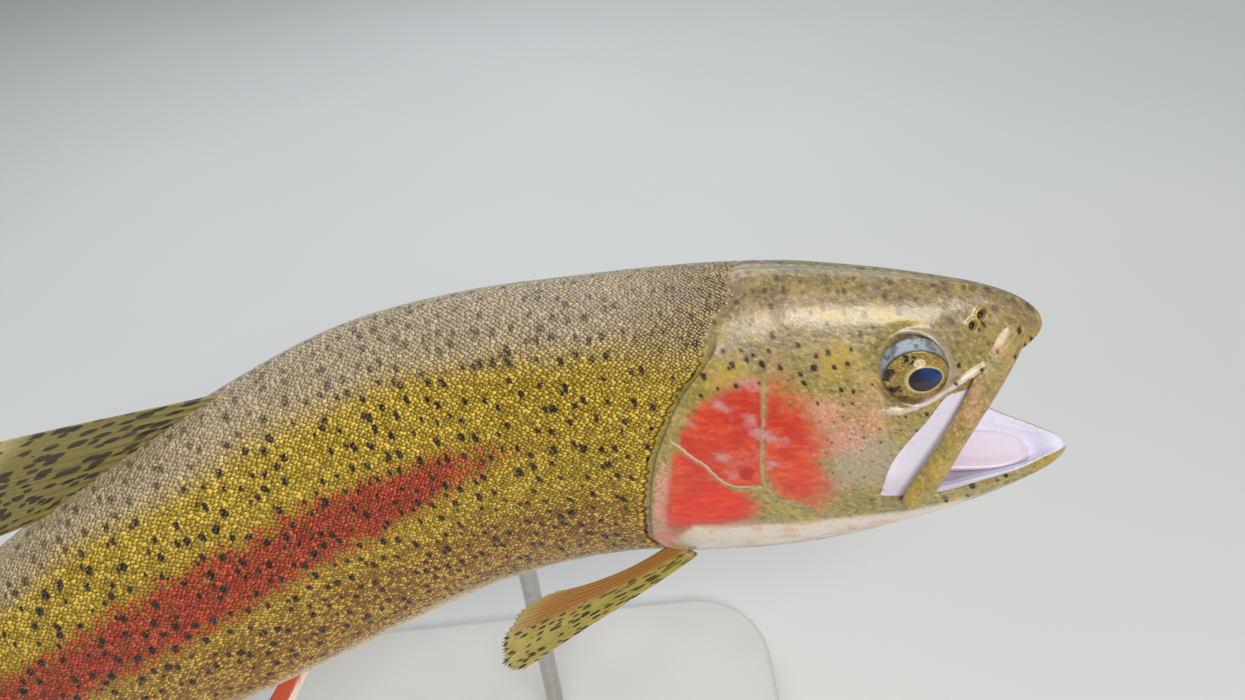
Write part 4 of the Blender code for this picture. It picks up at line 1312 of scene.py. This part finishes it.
def marking_group(specks):
    """The trout's colours over skin and scales alike, from the masks kept on the mesh."""
    graph, given, out = new_group(
        "Trout markings",
        {**dict.fromkeys(map(socket_name, ("flat", *FIELDS, "scale")), "vector"),
         **dict.fromkeys(map(socket_name, COLOURS), "color")},
        {"Color": "color", "Height": "value", "Wet": "value"})
    smooth, times, plus, scaled = graph.smooth, graph.times, graph.plus, graph.scaled
    part, swing, mix, wash = graph.part, graph.swing, graph.mix, graph.wash
    along, around, amount = graph.parts(given["Flat"])
    level, stripe, bare = graph.parts(given["Tones"])
    blush, ember, pink = graph.parts(given["Reds"])
    lining, gold, pale = graph.parts(given["Lights"])
    middle, chance, sheen = graph.parts(given["Scale"])
    place = graph.vector(along, around)
    broad = graph.noise(place, 28.0, 3.0)
    patchy = graph.noise(place, 130.0, 3.0, .6)
    grain = graph.noise(place, 620.0, 2.0, .6)
    cloud = graph.noise(graph.vector(around, along), 62.0, 4.0, .65)

    # Flank, back and belly
    loose = plus(level, swing(broad, .24))
    colour = wash(given["Flank"], given["Low flank"], loose, .10, -.30)
    # Back: the ridge's pale grey-tan is partly its own tone and partly a painted sheen, the sky's
    # reflection on the wet back.
    colour = wash(colour, given["Back"], loose, .70, .92)
    # Off the back, each scale's rim turns darker olive-brown: partly the scales' own pattern,
    # partly painted shade in the gaps between them.
    edge = times(smooth(middle, .50, .05), smooth(loose, .92, .70))
    colour = mix(part(edge, .55), colour, (92, 82, 26))
    # bright marks the middles of scales picked at random; there the flank takes the Glint colour
    # and the stripe a lighter orange, partly the scales' own gold and partly a painted glint.
    bright = times(smooth(chance, .30, .80), smooth(middle, .2, .9))
    off_back = graph.math("SUBTRACT", 1.0, smooth(loose, .70, .95))
    colour = mix(times(part(bright, .60), off_back), colour, given["Glint"])
    worn = plus(swing(chance, .75), swing(patchy, 1.0))
    red = times(smooth(plus(stripe, worn), .20, .85), smooth(stripe, .02, .22))
    rosy = mix(part(bright, .42), given["Stripe"], (208, 88, 46))
    rosy = wash(rosy, (120, 22, 13), sheen, .5, 1.0, .8)
    colour = mix(part(red, .94), colour, rosy)
    colour = wash(colour, given["Belly"], loose, -.66, -.90)
    # shade: a random tone for each scale and fine grain, with painted shade towards each scale's
    # rim; on the back the rims and gaps are lightened instead, painted light against the shade that
    # falls there.
    painted_light_in_gaps = times(smooth(loose, .60, .90), smooth(middle, .9, .1))
    shade = plus(scaled(chance, .42, scaled(middle, .22, .76)), part(painted_light_in_gaps, .30))
    colour = graph.shaded(colour, times(shade, scaled(grain, .7, .72)))

    # Head: olive mottles first, then its yellow, pink and red places, then its thin lines
    noises = {"patchy": patchy, "broad": broad, "cloud": cloud, "grain": grain,
              "grey": plus(times(lining, -1.0), swing(patchy, .9))}
    tan = wash(given["Head"], (134, 115, 84), level, .35, .95)
    for noise, low, high, most, tint in HEAD_MOTTLES:
        tan = wash(tan, tint, noises[noise], low, high, most)
    golden = times(gold, scaled(patchy, 2.2, -.45), clamp=True)
    tan = mix(part(golden, .9), tan, (186, 156, 26))
    # Painted shade: where gold runs below nothing, in the nostrils' pits and the crescent behind
    # and below each eye, the skin darkens.
    tan = wash(tan, (30, 22, 14), gold, -.35, -.9)
    tan = wash(tan, (226, 148, 132), plus(pink, swing(patchy, 1.5)), .15, 1.1, .85)
    streaks = graph.noise(graph.vector(times(along, .35), around), 520.0, 3.0, .6)
    ragged = plus(swing(streaks, .45), swing(patchy, .9))
    flush = plus(plus(blush, ragged), swing(cloud, .9))
    vivid = wash(given["Cover"], (224, 106, 58), streaks, .40, .80)
    vivid = wash(vivid, (184, 32, 22), cloud, .47, .62, .5)
    lilac_patch = times(smooth(patchy, .50, .70), smooth(ember, .5, .1))
    vivid = mix(part(lilac_patch, .75), vivid, (196, 156, 160))
    tan = wash(tan, vivid, flush, .15, .85)
    orange = wash((222, 32, 3), (238, 78, 12), streaks, .40, .80)
    tan = wash(tan, orange, plus(ember, swing(patchy, .8)), .25, .95)
    tan = wash(tan, (176, 22, 16), pink, -.35, -.7, .85)
    calm = graph.math("SUBTRACT", 1.0, smooth(flush, .0, .7))
    cheek_share = times(scaled(pink, 1.3, .25, clamp=True), calm)
    freckle = graph.noise(place, 1150.0, 2.0, .7)
    for low, high, most, tint in ((.54, .68, .55, (246, 218, 186)), (.46, .33, .50, (116, 78, 52))):
        share = times(smooth(freckle, low, high), cheek_share)
        tan = mix(part(share, most), tan, tint)
    cream = wash((234, 222, 206), (232, 166, 134), patchy, .48, .66, .7)
    tan = mix(part(pale, .92), tan, cream)
    lines, weights = graph.parts(given["Lines"]), graph.parts(given["Weights"])
    wobble = swing(grain, 1.0)
    for name, (reach, most, tint) in HEAD_LINES.items():
        number = ("ridge", "seam", "cheek").index(name)
        distance = graph.math("ABSOLUTE", plus(lines[number], wobble))
        share = times(smooth(distance, reach, reach * .3), weights[number])
        tan = mix(part(share, most), tan, tint)
    # Painted light: the middles of the nape's scales are lightened, against the shade in the gaps
    # between them; the bare skin is left as it is.
    tan = wash(tan, (204, 180, 142), middle, .60, .95, .75)
    skin_tone = mix(bare, colour, tan)

    # Inside of the mouth, and the specks over everything else
    lilac = wash((231, 227, 246), (224, 164, 156), gold, .0, .9)
    lilac = wash(lilac, (206, 178, 200), patchy, .5, .8, .35)
    speck = graph.group(specks, place=place, spacing=.0052, size=part(amount, .20), ragged=.0018)
    small = graph.group(specks, place=place, spacing=.0044, size=part(amount, .22), ragged=.0012)
    # Painted sheen: the specks fade on the back's ridge, as if washed out by the sky's reflection.
    painted_sheen_on_back = part(smooth(level, .70, .95), .55)
    mask = times(mix(bare, speck["Mask"], small["Mask"]), graph.math("SUBTRACT", 1.0, painted_sheen_on_back))
    halo = times(mix(bare, speck["Edge"], small["Edge"]), .28)
    skin_tone = mix(halo, skin_tone, (96, 66, 30))
    skin_tone = mix(part(mask, .93), skin_tone, given["Speck"])
    graph.feed(out.inputs["Color"], wash(skin_tone, lilac, lining, .3, .7))
    graph.feed(out.inputs["Height"], scaled(patchy, .6, grain))
    graph.feed(out.inputs["Wet"], smooth(patchy, .25, .75))
    return graph.tree


def start_material(name):
    made = bpy.data.materials.new(name)
    made.use_nodes = True
    return made, Graph(made.node_tree)


def finish_material(graph, shader_inputs, height=None, strength=.2, distance=.0003):
    """Adds the shader and, where there is a height, a bump under its normal."""
    shader = graph.add("BsdfPrincipled", shader_inputs)
    if height is not None:
        bump = graph.add("Bump", {"Height": height, "Strength": strength, "Distance": distance})
        graph.feed(shader.inputs["Normal"], bump.outputs[0])
    output = graph.add("OutputMaterial")
    graph.tree.links.new(shader.outputs[0], output.inputs[0])


def fish_material(name, markings, colours, scaled):
    made, graph = start_material(name)
    fields = {part: graph.attribute(part) for part in ("flat", *FIELDS)}
    fields["scale"] = graph.attribute("scale") if scaled else graph.vector(.55, .5, .3)
    fields.update((colour, getattr(colours, colour)) for colour in COLOURS)
    found = graph.group(markings, **fields)
    rough = graph.scaled(found["Wet"], .16, .28)
    finish_material(graph, {"Base Color": found["Color"], "Roughness": rough,
                            "Specular IOR Level": .5, "Coat Weight": .9, "Coat Roughness": .16,
                            "Coat IOR": 1.36},
                    found["Height"], strength=.20 if scaled else .50, distance=.0004)
    return made


def eye_material():
    """Blue-black pupil with a painted blue sheen, a thin bright ring, gold iris with dark blotches,
    grey-blue globe.
    """
    made, graph = start_material("trout_eye")
    smooth, times, mix, wash = graph.smooth, graph.times, graph.mix, graph.wash
    zone, ahead, up = graph.parts(graph.attribute("eye"))
    place = graph.object_place()
    blotch = graph.noise(place, 420.0, 3.0, .65)
    iris = wash((186, 144, 44), (240, 208, 110), graph.noise(place, 1500.0, 2.0), .35, .7)
    dark = smooth(graph.plus(blotch, times(ahead, -.14)), .58, .66)
    iris = mix(times(dark, smooth(zone, .22, .45)), iris, (56, 32, 16))
    iris = wash(iris, (255, 238, 168), zone, .20, .10)
    globe = wash((128, 108, 58), (172, 182, 198), up, -.35, .45)
    globe = wash(globe, (124, 112, 62), ahead, .20, .95, .65)
    globe = wash(globe, (72, 78, 74), blotch, .46, .62, .7)
    globe = wash(globe, (58, 50, 34), zone, 1.12, 1.01)
    colour = wash(iris, globe, zone, .97, 1.02)
    # Painted sheen: the pupil turns lighter blue towards its upper front, where it is lit.
    lit = times(graph.scaled(up, .5, ahead), graph.plus(zone, 1.0))
    pupil = wash((2, 6, 18), (18, 66, 138), lit, -.3, .9)
    colour = wash(colour, pupil, zone, .02, -.03)
    metal = times(smooth(zone, .0, .06), smooth(zone, 1.02, .96))
    finish_material(graph, {"Base Color": colour, "Metallic": times(metal, .2),
                            "Roughness": .34, "Coat Weight": .4, "Coat Roughness": .08},
                    blotch, strength=.03, distance=.0002)
    return made


def cornea_material():
    made, graph = start_material("trout_cornea")
    place = graph.object_place()
    film = graph.scaled(graph.noise(place, 160.0), .04, .02)
    finish_material(graph, {"Base Color": linear(18, 22, 28), "Roughness": film, "IOR": 2.1,
                            "Alpha": .14})
    return made


def tooth_material():
    made, graph = start_material("trout_teeth")
    place = graph.object_place()
    colour = graph.wash((238, 228, 208), (214, 188, 150), graph.noise(place, 900.0, 2.0), .4, .7)
    finish_material(graph, {"Base Color": colour, "Roughness": .22, "Coat Weight": .5})
    return made


FIN_LOOKS = {
    # name: ray, membrane, leading band, tip, speck size, speck reach from the leading edge
    "dorsal_fin": ((150, 138, 62), (118, 104, 44), (128, 116, 58), (196, 180, 128), .40, 1.0),
    "adipose_fin": ((128, 116, 58), (120, 108, 52), (110, 98, 48), (84, 72, 40), .30, 1.0),
    "anal_fin": ((196, 120, 68), (176, 92, 50), (232, 214, 196), (214, 168, 120), .0, .0),
    "caudal_fin": ((148, 130, 66), (112, 98, 46), (138, 120, 62), (176, 150, 92), .38, 1.0),
    "pectoral_fin": ((176, 130, 56), (150, 96, 36), (172, 160, 78), (184, 170, 96), .34, .60),
    "pelvic_fin": ((206, 104, 66), (190, 70, 42), (240, 226, 214), (214, 150, 110), .0, .0),
}


def fin_group(specks):
    """Colours of a rayed fin: rays, membranes, leading band, tips and specks between the rays."""
    graph, given, out = new_group(
        "Fin markings",
        {"Ray": "vector", "Fin": "vector", "Rays": "color", "Membrane": "color", "Band": "color",
         "Tip": "color", "Speck": "color", "Size": "value", "Reach": "value"},
        {"Color": "color", "Height": "value"})
    smooth, times, mix, wash = graph.smooth, graph.times, graph.mix, graph.wash
    phase, out_mm, ridge = graph.parts(given["Ray"])
    share, far, _ = graph.parts(given["Fin"])
    place = graph.vector(times(phase, .004), times(out_mm, .001))
    mottle = graph.noise(place, 170.0, 3.0, .6)
    fine = graph.noise(place, 900.0, 2.0)
    colour = wash(given["Membrane"], given["Rays"], ridge, .15, .75)
    band = graph.plus(share, graph.swing(mottle, .16))
    edge = graph.math("MAXIMUM", times(given["Reach"], .9), .25)
    colour = wash(colour, given["Band"], graph.math("SUBTRACT", band, edge), .08, -.12)
    colour = wash(colour, given["Tip"], far, .80, 1.0, .7)
    colour = wash(colour, given["Membrane"], mottle, .40, .75, .45)
    colour = graph.shaded(colour, graph.scaled(fine, .5, .75))
    speck_place = graph.vector(times(phase, .0042), times(out_mm, .00085))
    speck = graph.group(specks, place=speck_place, spacing=.0042, size=given["Size"], ragged=.0009)
    allowed = smooth(share, given["Reach"], graph.math("SUBTRACT", given["Reach"], .06))
    mask = times(times(speck["Mask"], allowed), smooth(given["Size"], .0, .05))
    colour = mix(times(mask, .9), colour, given["Speck"])
    joints = times(graph.math("SINE", times(out_mm, 7.0)), smooth(ridge, .3, .8))
    graph.feed(out.inputs["Color"], colour)
    graph.feed(out.inputs["Height"], graph.scaled(joints, .35, fine))
    return graph.tree


def fin_material(name, looks, markings, speck):
    made, graph = start_material("finish_" + name)
    rays, membrane, band, tip, size, reach = looks
    found = graph.group(markings, ray=graph.attribute("ray"), fin=graph.attribute("fin"),
                        rays=linear(*rays), membrane=linear(*membrane), band=linear(*band),
                        tip=linear(*tip), speck=speck, size=size, reach=reach)
    finish_material(graph, {"Base Color": found["Color"], "Roughness": .34, "Coat Weight": .6,
                            "Coat Roughness": .10}, found["Height"], strength=.35)
    return made


def board_material():
    made, graph = start_material("board_paint_finish")
    place = graph.object_place()
    roller = graph.noise(place, 900.0, 4.0, .6)
    colour = graph.wash((206, 204, 198), (214, 212, 207), graph.noise(place, 14.0, 2.0), .35, .7)
    finish_material(graph, {"Base Color": colour, "Roughness": graph.scaled(roller, .12, .38)},
                    roller, strength=.12, distance=.0002)
    return made


def steel_material():
    made, graph = start_material("steel_rod_finish")
    place = graph.object_place()
    stretched = graph.add("Mapping", {"Vector": place, "Scale": (1, 1, 40)}).outputs[0]
    brushed = graph.noise(stretched, 90.0, 4.0, .6)
    colour = graph.wash((176, 176, 174), (200, 200, 198), brushed, .3, .7)
    finish_material(graph, {"Base Color": colour, "Metallic": 1.0,
                            "Roughness": graph.scaled(brushed, .18, .20)},
                    brushed, strength=.10, distance=.0001)
    return made


def floor_material():
    made, graph = start_material("studio_floor")
    place = graph.object_place()
    colour = graph.wash((218, 219, 216), (224, 225, 222), graph.noise(place, 2.2, 3.0), .3, .7)
    finish_material(graph, {"Base Color": colour, "Roughness": .65}, graph.noise(place, 700.0),
                    strength=.05, distance=.0002)
    return made


def wear(item, made):
    """Gives a piece its one material."""
    item.data.materials.clear()
    item.data.materials.append(made)


# ---- The add-on ---------------------------------------------------------------------------

def colour_property(name, description, shade):
    return FloatVectorProperty(name=name, description=description, default=linear(*shade),
                               subtype="COLOR", size=3, min=0, max=1)


class TroutSizes(bpy.types.PropertyGroup):
    scale_length: FloatProperty(name="Scale length", default=.0017, unit="LENGTH",
                                description="Step between scales along a row on the deepest flank")
    scale_width: FloatProperty(name="Scale width", default=.0015, unit="LENGTH",
                               description="Step between rows of scales on the deepest flank")
    scale_lift: FloatProperty(name="Scale lift", default=.00019, unit="LENGTH",
                              description="How far a scale's free edge stands over its root")


class TroutColours(bpy.types.PropertyGroup):
    # Back is partly the ridge's own tone and partly a painted sheen of the sky's reflection on the
    # wet back.
    back: colour_property("Back", "Ridge of the back", (178, 160, 130))
    flank: colour_property("Flank", "Upper flank between the specks", (170, 140, 26))
    # Glint is the scales' own gold, partly a painted glint on their middles.
    glint: colour_property("Glint", "Brightest middles of the flank's scales", (224, 192, 76))
    stripe: colour_property("Stripe", "Red band along the flank", (160, 30, 17))
    low_flank: colour_property("Low flank", "Flank under the stripe", (140, 93, 20))
    belly: colour_property("Belly", "Underside", (222, 206, 176))
    head: colour_property("Head", "Cheek and snout", (152, 136, 70))
    cover: colour_property("Gill cover", "Red of the gill cover", (206, 52, 18))
    speck: colour_property("Specks", "Dark specks", (30, 20, 14))


class TroutStudio(bpy.types.PropertyGroup):
    key_power: FloatProperty(name="Key light", default=9.5, unit="POWER",
                             description="Soft light above and in front of the fish")
    sky_power: FloatProperty(name="Back light", default=6.0, unit="POWER",
                             description="Broad light above and behind, for the sheen on the back")
    fill: FloatProperty(name="Fill", default=.30, min=0,
                        description="Brightness of the surroundings")


class TROUT_OT_skin(bpy.types.Operator):
    """Build the fish's skin and its teeth"""
    bl_idname = "trout.skin"
    bl_label = "Skin and teeth"

    def execute(self, context):
        colours = context.scene.trout_colours
        specks = speck_group()
        markings = marking_group(specks)
        skin = build_skin()
        wear(skin, fish_material("trout_skin", markings, colours, scaled=False))
        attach(skin, "root")
        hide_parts("head", "lower_jaw", "trunk", "tail_stalk", "gill_cover_right",
                    "gill_cover_left", "maxilla_right", "maxilla_left", "mouth_web_right",
                    "mouth_web_left", "tongue")
        teeth = build_teeth()
        wear(teeth, tooth_material())
        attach(teeth, "root")
        return {"FINISHED"}


class TROUT_OT_scales(bpy.types.Operator):
    """Lay the scales over the skin"""
    bl_idname = "trout.scales"
    bl_label = "Scales"

    def execute(self, context):
        colours = context.scene.trout_colours
        made = fish_material("trout_scales", bpy.data.node_groups["Trout markings"], colours,
                             scaled=True)
        for piece in build_scales(context.scene.trout_sizes):
            wear(piece, made)
            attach(piece, "root")
        return {"FINISHED"}


class TROUT_OT_eyes(bpy.types.Operator):
    """Build the eyes, each a globe with its iris under a clear dome"""
    bl_idname = "trout.eyes"
    bl_label = "Eyes"

    def execute(self, context):
        globe, clear = eye_material(), cornea_material()
        for label, side in (("right", 1), ("left", -1)):
            eye, dome = eyeball(side, label), cornea(side, label)
            wear(eye, globe)
            wear(dome, clear)
            for piece in (eye, dome):
                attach(piece, "root")
            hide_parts("eye_" + label)
        return {"FINISHED"}


class TROUT_OT_fins(bpy.types.Operator):
    """Build the fins with their rays"""
    bl_idname = "trout.fins"
    bl_label = "Fins"

    def execute(self, context):
        markings = fin_group(bpy.data.node_groups["Specks"])
        speck = context.scene.trout_colours.speck
        finishes = {name: fin_material(name, looks, markings, speck)
                    for name, looks in FIN_LOOKS.items()}
        for name, layout in fin_layouts().items():
            fin = build_fin(name, layout)
            wear(fin, finishes[name.removesuffix("_right").removesuffix("_left")])
            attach(fin, "root")
            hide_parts(name)
        return {"FINISHED"}


class TROUT_OT_stand(bpy.types.Operator):
    """Finish the display stand's board and rods"""
    bl_idname = "trout.stand"
    bl_label = "Stand finish"

    def execute(self, context):
        wear(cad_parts["stand_base"], board_material())
        steel = steel_material()
        for label in ("front", "rear"):
            wear(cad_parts["stand_rod_" + label], steel)
        return {"FINISHED"}


CAMERA_RIGHT = (1, 0, 0)
CAMERA_FALL = 38.45            # degrees that the camera looks down
CAMERA_ROLL = -6.0
CAMERA_DISTANCE = .2916        # from the body axis behind the gill opening
CAMERA_OFFSET = (-.0029, .0129)     # to its right and above that point
CAMERA_LENS = 29.144


def place_camera():
    """The camera looks down across the fish from its right."""
    fall, roll = math.radians(CAMERA_FALL), math.radians(CAMERA_ROLL)
    ahead = np.array([0, math.cos(fall), -math.sin(fall)])
    right = np.array(CAMERA_RIGHT, float)
    up = np.cross(right, ahead)
    level = right * math.cos(roll) + up * math.sin(roll)
    upright = up * math.cos(roll) - right * math.sin(roll)
    at = (posed(np.array([PIVOT, 0, 0])) + right * CAMERA_OFFSET[0] + up * CAMERA_OFFSET[1]
          - ahead * CAMERA_DISTANCE)
    data = bpy.data.cameras.new("camera")
    data.sensor_width = 36
    data.lens = CAMERA_LENS
    data.clip_start = .01
    camera = in_scene("camera", data)
    axes = np.stack([level, upright, -ahead], 1)
    camera.matrix_world = Matrix.Translation(at) @ Matrix(axes.tolist()).to_4x4()
    bpy.context.scene.camera = camera


def soft_light(name, at, target, size, power, shade):
    data = bpy.data.lights.new(name, "AREA")
    data.shape = "ELLIPSE"
    data.size, data.size_y = size
    data.energy = power
    data.color = linear(*shade)
    lamp = in_scene(name, data)
    lamp.location = at
    lamp.rotation_euler = (Vector(target) - Vector(at)).to_track_quat("-Z", "Y").to_euler()


class TROUT_OT_studio(bpy.types.Operator):
    """Set up the floor, the lights and the camera"""
    bl_idname = "trout.studio"
    bl_label = "Studio"

    def execute(self, context):
        studio = context.scene.trout_studio
        shape = bmesh.new()
        bmesh.ops.create_grid(shape, x_segments=8, y_segments=8, size=3)
        floor = new_object("floor", shape)
        wear(floor, floor_material())
        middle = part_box("trunk")[1]
        for name, at, size, power, shade in (
                ("key_light", (.25, -.75, .95), (.7, .5), studio.key_power, (255, 250, 242)),
                ("back_light", (-.05, .75, .85), (1.6, .8), studio.sky_power, (240, 246, 255))):
            soft_light(name, at, middle, size, power, shade)
        world = bpy.data.worlds.new("studio")
        world.use_nodes = True
        surroundings = world.node_tree.nodes["Background"].inputs
        surroundings["Color"].default_value = (*linear(236, 240, 246), 1)
        surroundings["Strength"].default_value = studio.fill
        context.scene.world = world
        context.scene.view_settings.view_transform = "Standard"
        place_camera()
        return {"FINISHED"}


class TROUT_PT_panel(bpy.types.Panel):
    """Lists the model's sizes, colours and building steps"""
    bl_label = "Rainbow trout"
    bl_idname = "TROUT_PT_panel"
    bl_space_type = "VIEW_3D"
    bl_region_type = "UI"
    bl_category = "Trout"

    def draw(self, context):
        for group in (context.scene.trout_sizes, context.scene.trout_colours,
                      context.scene.trout_studio):
            for name in group.__annotations__:
                self.layout.prop(group, name)
        for step in STEPS:
            self.layout.operator(step.bl_idname)


STEPS = (TROUT_OT_studio, TROUT_OT_stand, TROUT_OT_skin, TROUT_OT_scales, TROUT_OT_eyes,
         TROUT_OT_fins)
CLASSES = (TroutSizes, TroutColours, TroutStudio, *STEPS, TROUT_PT_panel)
GROUPS = (("trout_sizes", TroutSizes), ("trout_colours", TroutColours),
          ("trout_studio", TroutStudio))


def register():
    for item in CLASSES:
        bpy.utils.register_class(item)
    for name, kind in GROUPS:
        setattr(bpy.types.Scene, name, PointerProperty(type=kind))


def unregister():
    for name, _ in GROUPS:
        delattr(bpy.types.Scene, name)
    for item in reversed(CLASSES):
        bpy.utils.unregister_class(item)


def main():
    register()
    bpy.ops.trout.studio()
    bpy.ops.trout.stand()
    bpy.ops.trout.skin()
    bpy.ops.trout.scales()
    bpy.ops.trout.eyes()
    bpy.ops.trout.fins()


if __name__ == "__main__":
    main()
